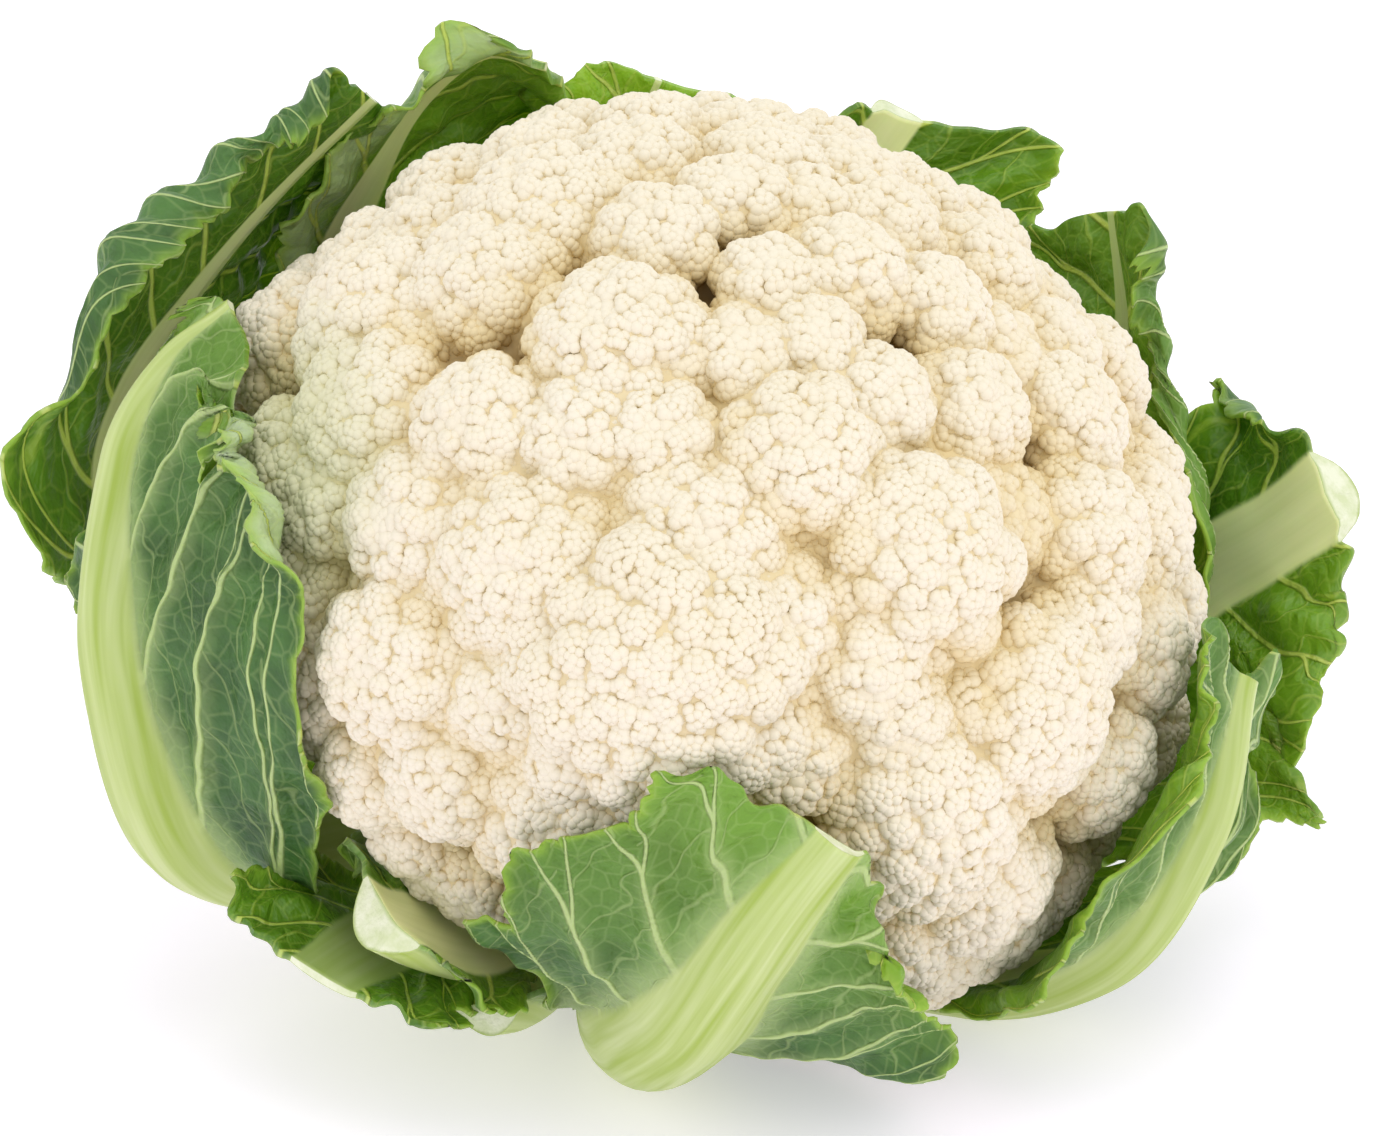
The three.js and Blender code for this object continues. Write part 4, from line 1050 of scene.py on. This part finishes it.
cut_bump = add_node(tree, "ShaderNodeBump", {
    "Strength": 0.5, "Distance": 0.4 * MM, "Height": grain.outputs["Fac"]})
shader = add_node(tree, "ShaderNodeBsdfPrincipled", {
    "Base Color": cut_colour.outputs[2], "Roughness": 0.32, "IOR": 1.36,
    "Normal": cut_bump.outputs["Normal"]})
add_node(tree, "ShaderNodeOutputMaterial", {"Surface": shader.outputs[0]})
print(cut.name, "has", len(tree.nodes), "nodes")

# %% [markdown]
# ## The flat blade
#
# Each half of a leaf is laid out as a grid in millimetres, out from the middle of the rib. Its rows
# keep a smooth width, and only the outermost columns take up the teeth of the margin, so that nothing
# drawn on the blade is jagged. Beside the grid come the fields that the mesh and the material use.

# %% Lay out half a leaf
GRID = 0.95
RIB_COLUMNS = 9
QUILT = 1.8
VEIN_RISE = 0.9
UNEVEN, UNEVEN_LENGTH = 0.6, 10.0
RIM_WIDTH, RIM_STRENGTH = 1.3, 0.75
PALE_WIDTH = 12.0
QUILT_FLANK, VEIN_FLANK = 3.2, 1.2
MARGIN_THINNING = 0.45


def margin_teeth(u, length, random):
    uneven = wander(u * length, 0 * u, 3 * TOOTH_LENGTH, random)
    teeth = np.abs(np.sin(math.pi * u * length / TOOTH_LENGTH + 1.2 * uneven)) - 0.6
    return smoothstep(u, *STALK_TO_BLADE) * (TOOTH_DEPTH * teeth + 1.6 * uneven)


def half_grid(half, side, u, length, rib_width, random):
    """Distances out from the middle of the rib in mm, row by row, and the width of every row."""
    lobes = LOBE_DEPTH * np.sin(2 * math.pi * MARGIN_LOBES * u + side)
    width = along(half["width"], u) * (1 + lobes * smoothstep(u, *STALK_TO_BLADE))
    width = np.maximum(width, rib_width + 1.5)
    columns = max(int((width - rib_width).max() / GRID), 4)
    blade_share = np.linspace(0, 1, columns + 1)[1:]
    teeth = np.maximum(margin_teeth(u, length, random), -0.5 * (width - rib_width))
    beyond = blade_share * (width - rib_width)[:, None] + blade_share ** 5 * teeth[:, None]
    on_rib = rib_width[:, None] * np.linspace(0, 1, RIB_COLUMNS)
    return np.hstack([on_rib, rib_width[:, None] + beyond]), width


def half_fields(leaf, side, u, length, out_mm, width, rib_width, random):
    """What is drawn on half a leaf: veins, rib, rim, and heights in mm."""
    half = leaf["right"] if side > 0 else leaf["left"]
    full = smoothstep(u, *STALK_TO_BLADE)[:, None]
    along_mm = (u * length)[:, None] + 0 * out_mm
    beyond = np.clip(out_mm - rib_width[:, None], 0, None)
    way_out = np.clip(beyond / (width - rib_width)[:, None], 0, 1)
    off_rib = np.clip(beyond / 5, 0, 1)
    spacing = half.get("spacing", VEIN_SPACING)
    count = vein_count(along_mm, beyond, width[:, None], half.get("slant", VEIN_SLANT), spacing, random)
    gap_mm = vein_gap(count, way_out) * spacing * 0.75
    to_margin = out_mm[:, -1:] - out_mm
    rib_across = np.clip(out_mm / rib_width[:, None], 0, 1)
    quilt = -QUILT * (1 - np.exp(-(gap_mm / QUILT_FLANK) ** 2))
    quilt = quilt + UNEVEN * wander(along_mm, out_mm, UNEVEN_LENGTH, random)
    vein_rise = VEIN_RISE * np.exp(-(gap_mm / VEIN_FLANK) ** 2) * (1 - 0.6 * way_out)
    return {
        "along": along_mm, "out": side * out_mm, "vein count": count + 40 * (side + 1), "way out": way_out,
        "rib": np.clip(out_mm / rib_width[:, None], 0, 2), "rib arch": 1 - rib_across ** 2,
        "rim": RIM_STRENGTH * np.exp(-(to_margin / RIM_WIDTH) ** 2) * full * off_rib,
        "pale": half.get("pale", 0) * np.exp(-(to_margin / PALE_WIDTH) ** 4) * full * off_rib,
        "youth_and_painted_light": eased(half.get("youth_and_painted_light", leaf["youth_and_painted_light"]), u) + 0 * out_mm,
        "thin": 1 - MARGIN_THINNING * smoothstep(out_mm / width[:, None], 0.2, 1),
        "quilt": quilt * full * off_rib, "vein rise": vein_rise * full * off_rib}


print("grid step", GRID, "mm")

# %% [markdown]
# ## Bending the blade
#
# The flat half is rolled up row by row: the angles of its cross-section are added up from the rib to
# the margin, the margin is waved and frilled, and the end of the leaf is torn and rounded. Lattices or
# bend modifiers could do this too, but one formula keeps every leaf clear of the curd and the table.

# %% Bend half a leaf into place
FRILL = 2.6
FRILL_LENGTH = 21.0
TIP_RAG, TIP_RAG_LENGTH = 2.2, 9.0
TIP_ROUNDING = 7.0


def bend_half(leaf, side, u, width, out_mm, frame_at, length, random):
    """Places of one half's middle surface, for every row and every distance out from the rib."""
    half = leaf["right"] if side > 0 else leaf["left"]
    place, out, sideways, tangent = frame_at
    share = np.clip(out_mm / width[:, None], 0, 1.1)
    part = share[..., None] * SECTION_STEPS
    rolled = smoothstep(part, half.get("roll_start", ROLL_START), 1)
    lean, bend, roll = (eased(half[name], u)[..., None] for name in ("lean", "bend", "roll"))
    angle = np.radians(lean + bend * part + roll * rolled)
    reach = out_mm * np.cos(angle).mean(axis=-1)
    up = out_mm * np.sin(angle).mean(axis=-1)
    last = angle[..., -1]
    full = smoothstep(u, *STALK_TO_BLADE)[:, None]
    wave = leaf["ruffle"] * np.sin(2 * math.pi * leaf["waves"] * u + side)[:, None]
    frill = wander((u * length)[:, None] + 0 * out_mm, 0 * out_mm, FRILL_LENGTH, random)
    rise = (wave * share ** RUFFLE_GROWTH + FRILL * frill * share ** 3) * full
    reach = reach - rise * np.sin(last)
    up = up + rise * np.cos(last)
    ragged = TIP_RAG * wander(out_mm, 0 * out_mm, TIP_RAG_LENGTH, random) * smoothstep(share, 0.25, 0.5)
    forward = eased(half.get("sweep", 0), u) * share ** RUFFLE_GROWTH * full
    forward = forward + (ragged - TIP_ROUNDING * share ** 4) * smoothstep(u, 0.75, 1)[:, None]
    return (place[:, None] + side * reach[..., None] * sideways[:, None] + up[..., None] * out[:, None]
            + forward[..., None] * tangent[:, None])


print("margins frilled every", FRILL_LENGTH, "mm")

# %% [markdown]
# ## Two faces and a rim
#
# A leaf has a thickness, so the middle surface is moved out for one face and in for the other. The
# rib and the veins stand up on the outer face only. Strips of faces along the margins, the foot and
# the tip close the body, and the tip of the rib gets the material of a fresh cut.

# %% Join two halves to a closed leaf
ATTRIBUTES = ("rib", "vein count", "way out", "rim", "youth_and_painted_light")


def leaf_faces(leaf, u, joined):
    """Outer and inner face of a leaf, clear of the stem, the curd and the table."""
    middle = clear_of_neighbours(joined["middle"], leaf["layer"])
    normal = unit(np.cross(np.gradient(middle, axis=1), np.gradient(middle, axis=0)))
    middle = middle + normal * joined["quilt"][..., None]
    rib_rise = along(leaf["rib"]["depth"], u)[:, None] * joined["rib arch"]
    thick = BLADE / 2 * joined["thin"]
    outer = middle + normal * (thick + rib_rise + joined["vein rise"])[..., None]
    inner = middle - normal * thick[..., None]
    faces = np.stack([outer, inner])
    clear = (STEM_RADIUS + GAP) / np.hypot(faces[:, 0, :, 0], faces[:, 0, :, 1])
    faces[:, 0, :, :2] *= clear[..., None]
    return faces + np.maximum(0, -(faces @ TABLE_UP))[..., None] * TABLE_UP


def sheet_quads(rows, columns):
    """Corners of a closed sheet: both faces, the two margins, the foot and the tip."""
    top = np.arange(rows * columns).reshape(rows, columns)
    under = top + rows * columns
    outer = np.stack([top[:-1, :-1], top[:-1, 1:], top[1:, 1:], top[1:, :-1]], axis=-1).reshape(-1, 4)
    inner = (outer + rows * columns)[:, ::-1]
    left = np.stack([top[:-1, 0], top[1:, 0], under[1:, 0], under[:-1, 0]], axis=-1)
    right = np.stack([top[1:, -1], top[:-1, -1], under[:-1, -1], under[1:, -1]], axis=-1)
    foot = np.stack([top[0, 1:], top[0, :-1], under[0, :-1], under[0, 1:]], axis=-1)
    tip = np.stack([top[-1, :-1], top[-1, 1:], under[-1, 1:], under[-1, :-1]], axis=-1)
    return np.concatenate([outer, inner, left, right, foot, tip])


def on_both_faces(values):
    return np.concatenate([values.ravel(), values.ravel()])


def paint_leaf(piece, leaf, joined, quads):
    """Gives a leaf its attributes, its flat coordinates and its two materials."""
    mesh = piece.data
    rows, columns = joined["rib"].shape
    for name in ATTRIBUTES:
        set_attribute(mesh, name, on_both_faces(joined[name]))
    set_attribute(mesh, "outer", np.repeat([1.0, 0.0], rows * columns))
    set_attribute(mesh, "pale", np.concatenate([0 * joined["pale"].ravel(), joined["pale"].ravel()]))
    set_attribute(mesh, "flush", np.repeat([0.0, leaf.get("flush", 0.0)], rows * columns))
    flat = np.stack([on_both_faces(joined["along"]), on_both_faces(joined["out"])], axis=-1) * MM
    flat_corners = flat[quads.ravel()].ravel().astype(np.float32)
    mesh.uv_layers.new(name="flat leaf").data.foreach_set("uv", flat_corners)
    mesh.materials.append(blade)
    mesh.materials.append(cut)
    ends = columns - 1
    slots = np.zeros(len(quads), np.int32)
    slots[-ends:][(joined["rib"][-1, :-1] + joined["rib"][-1, 1:]) < 2] = 1
    mesh.polygons.foreach_set("material_index", slots)
    mesh.polygons.foreach_set("use_smooth", np.arange(len(quads)) < len(quads) - 2 * ends)


def make_leaf(name, leaf):
    random = np.random.default_rng([SEED, len(name), sum(map(ord, name))])
    length = spine_frame(leaf["spine"], np.linspace(0, 1, 50))[-1]
    u = np.linspace(0, 1, int(length / GRID))
    frame_at = spine_frame(leaf["spine"], u)[:4]
    rib_width = along(leaf["rib"]["width"], u)
    halves = []
    for side in (-1, 1):
        half = leaf["right"] if side > 0 else leaf["left"]
        out_mm, width = half_grid(half, side, u, length, rib_width, random)
        fields = half_fields(leaf, side, u, length, out_mm, width, rib_width, random)
        fields["middle"] = bend_half(leaf, side, u, width, out_mm, frame_at, length, random)
        halves.append(fields)
    left, right = halves
    joined = {key: np.concatenate([left[key][:, ::-1], right[key][:, 1:]], axis=1) for key in left}
    quads = sheet_quads(*joined["rib"].shape)
    piece = mesh_object(name, in_frame(leaf_faces(leaf, u, joined).reshape(-1, 3)), quads)
    paint_leaf(piece, leaf, joined, quads)
    fit_out(piece, name)
    return piece


for name, leaf in LEAVES.items():
    piece = make_leaf(name, leaf)
    print(piece.name, 2 * len(piece.data.polygons), "triangles")

# %% [markdown]
# ## The stem
#
# The stem is a short pale trunk, cut level so that the head stands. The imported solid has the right
# shape already, so it only needs its material: a pale green skin with lengthwise fibres, and the
# whiter pith that the knife laid bare underneath.

# %% Material of the stem
STEM_PALE, STEM_GREEN = "#dde3b8", "#b4c47c"

skin_of_stem, tree = new_material("cauliflower stem")
# Smooth rind over woody fibres: pale, slightly waxy, with greener streaks that run up the trunk.
place = add_node(tree, "ShaderNodeTexCoord")
upright_place = add_node(tree, "ShaderNodeMapping", {
    "Vector": place.outputs["Object"], "Rotation": Matrix(LEAN.tolist()).to_euler(),
    "Scale": (3 * MM, 3 * MM, 40 * MM)}, vector_type="TEXTURE")
streaks = add_node(tree, "ShaderNodeTexNoise", {
    "Vector": upright_place.outputs[0], "Scale": 1.0, "Detail": 3.0})
streak = add_node(tree, "ShaderNodeMapRange", {"Value": streaks.outputs["Fac"], 1: 0.35, 2: 0.65})
stem_colour = add_node(tree, "ShaderNodeMix", {
    0: streak.outputs[0], 6: linear(STEM_PALE), 7: linear(STEM_GREEN)}, data_type="RGBA")
streak_bump = add_node(tree, "ShaderNodeBump", {
    "Strength": 0.3, "Distance": 0.4 * MM, "Height": streaks.outputs["Fac"]})
shader = add_node(tree, "ShaderNodeBsdfPrincipled", {
    "Base Color": stem_colour.outputs[2], "Roughness": 0.5, "IOR": 1.42,
    "Normal": streak_bump.outputs["Normal"]})
add_node(tree, "ShaderNodeOutputMaterial", {"Surface": shader.outputs[0]})
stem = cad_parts["stem"]
stem.data.materials.clear()
stem.data.materials.append(skin_of_stem)
print("stem:", len(stem.data.polygons), "triangles")
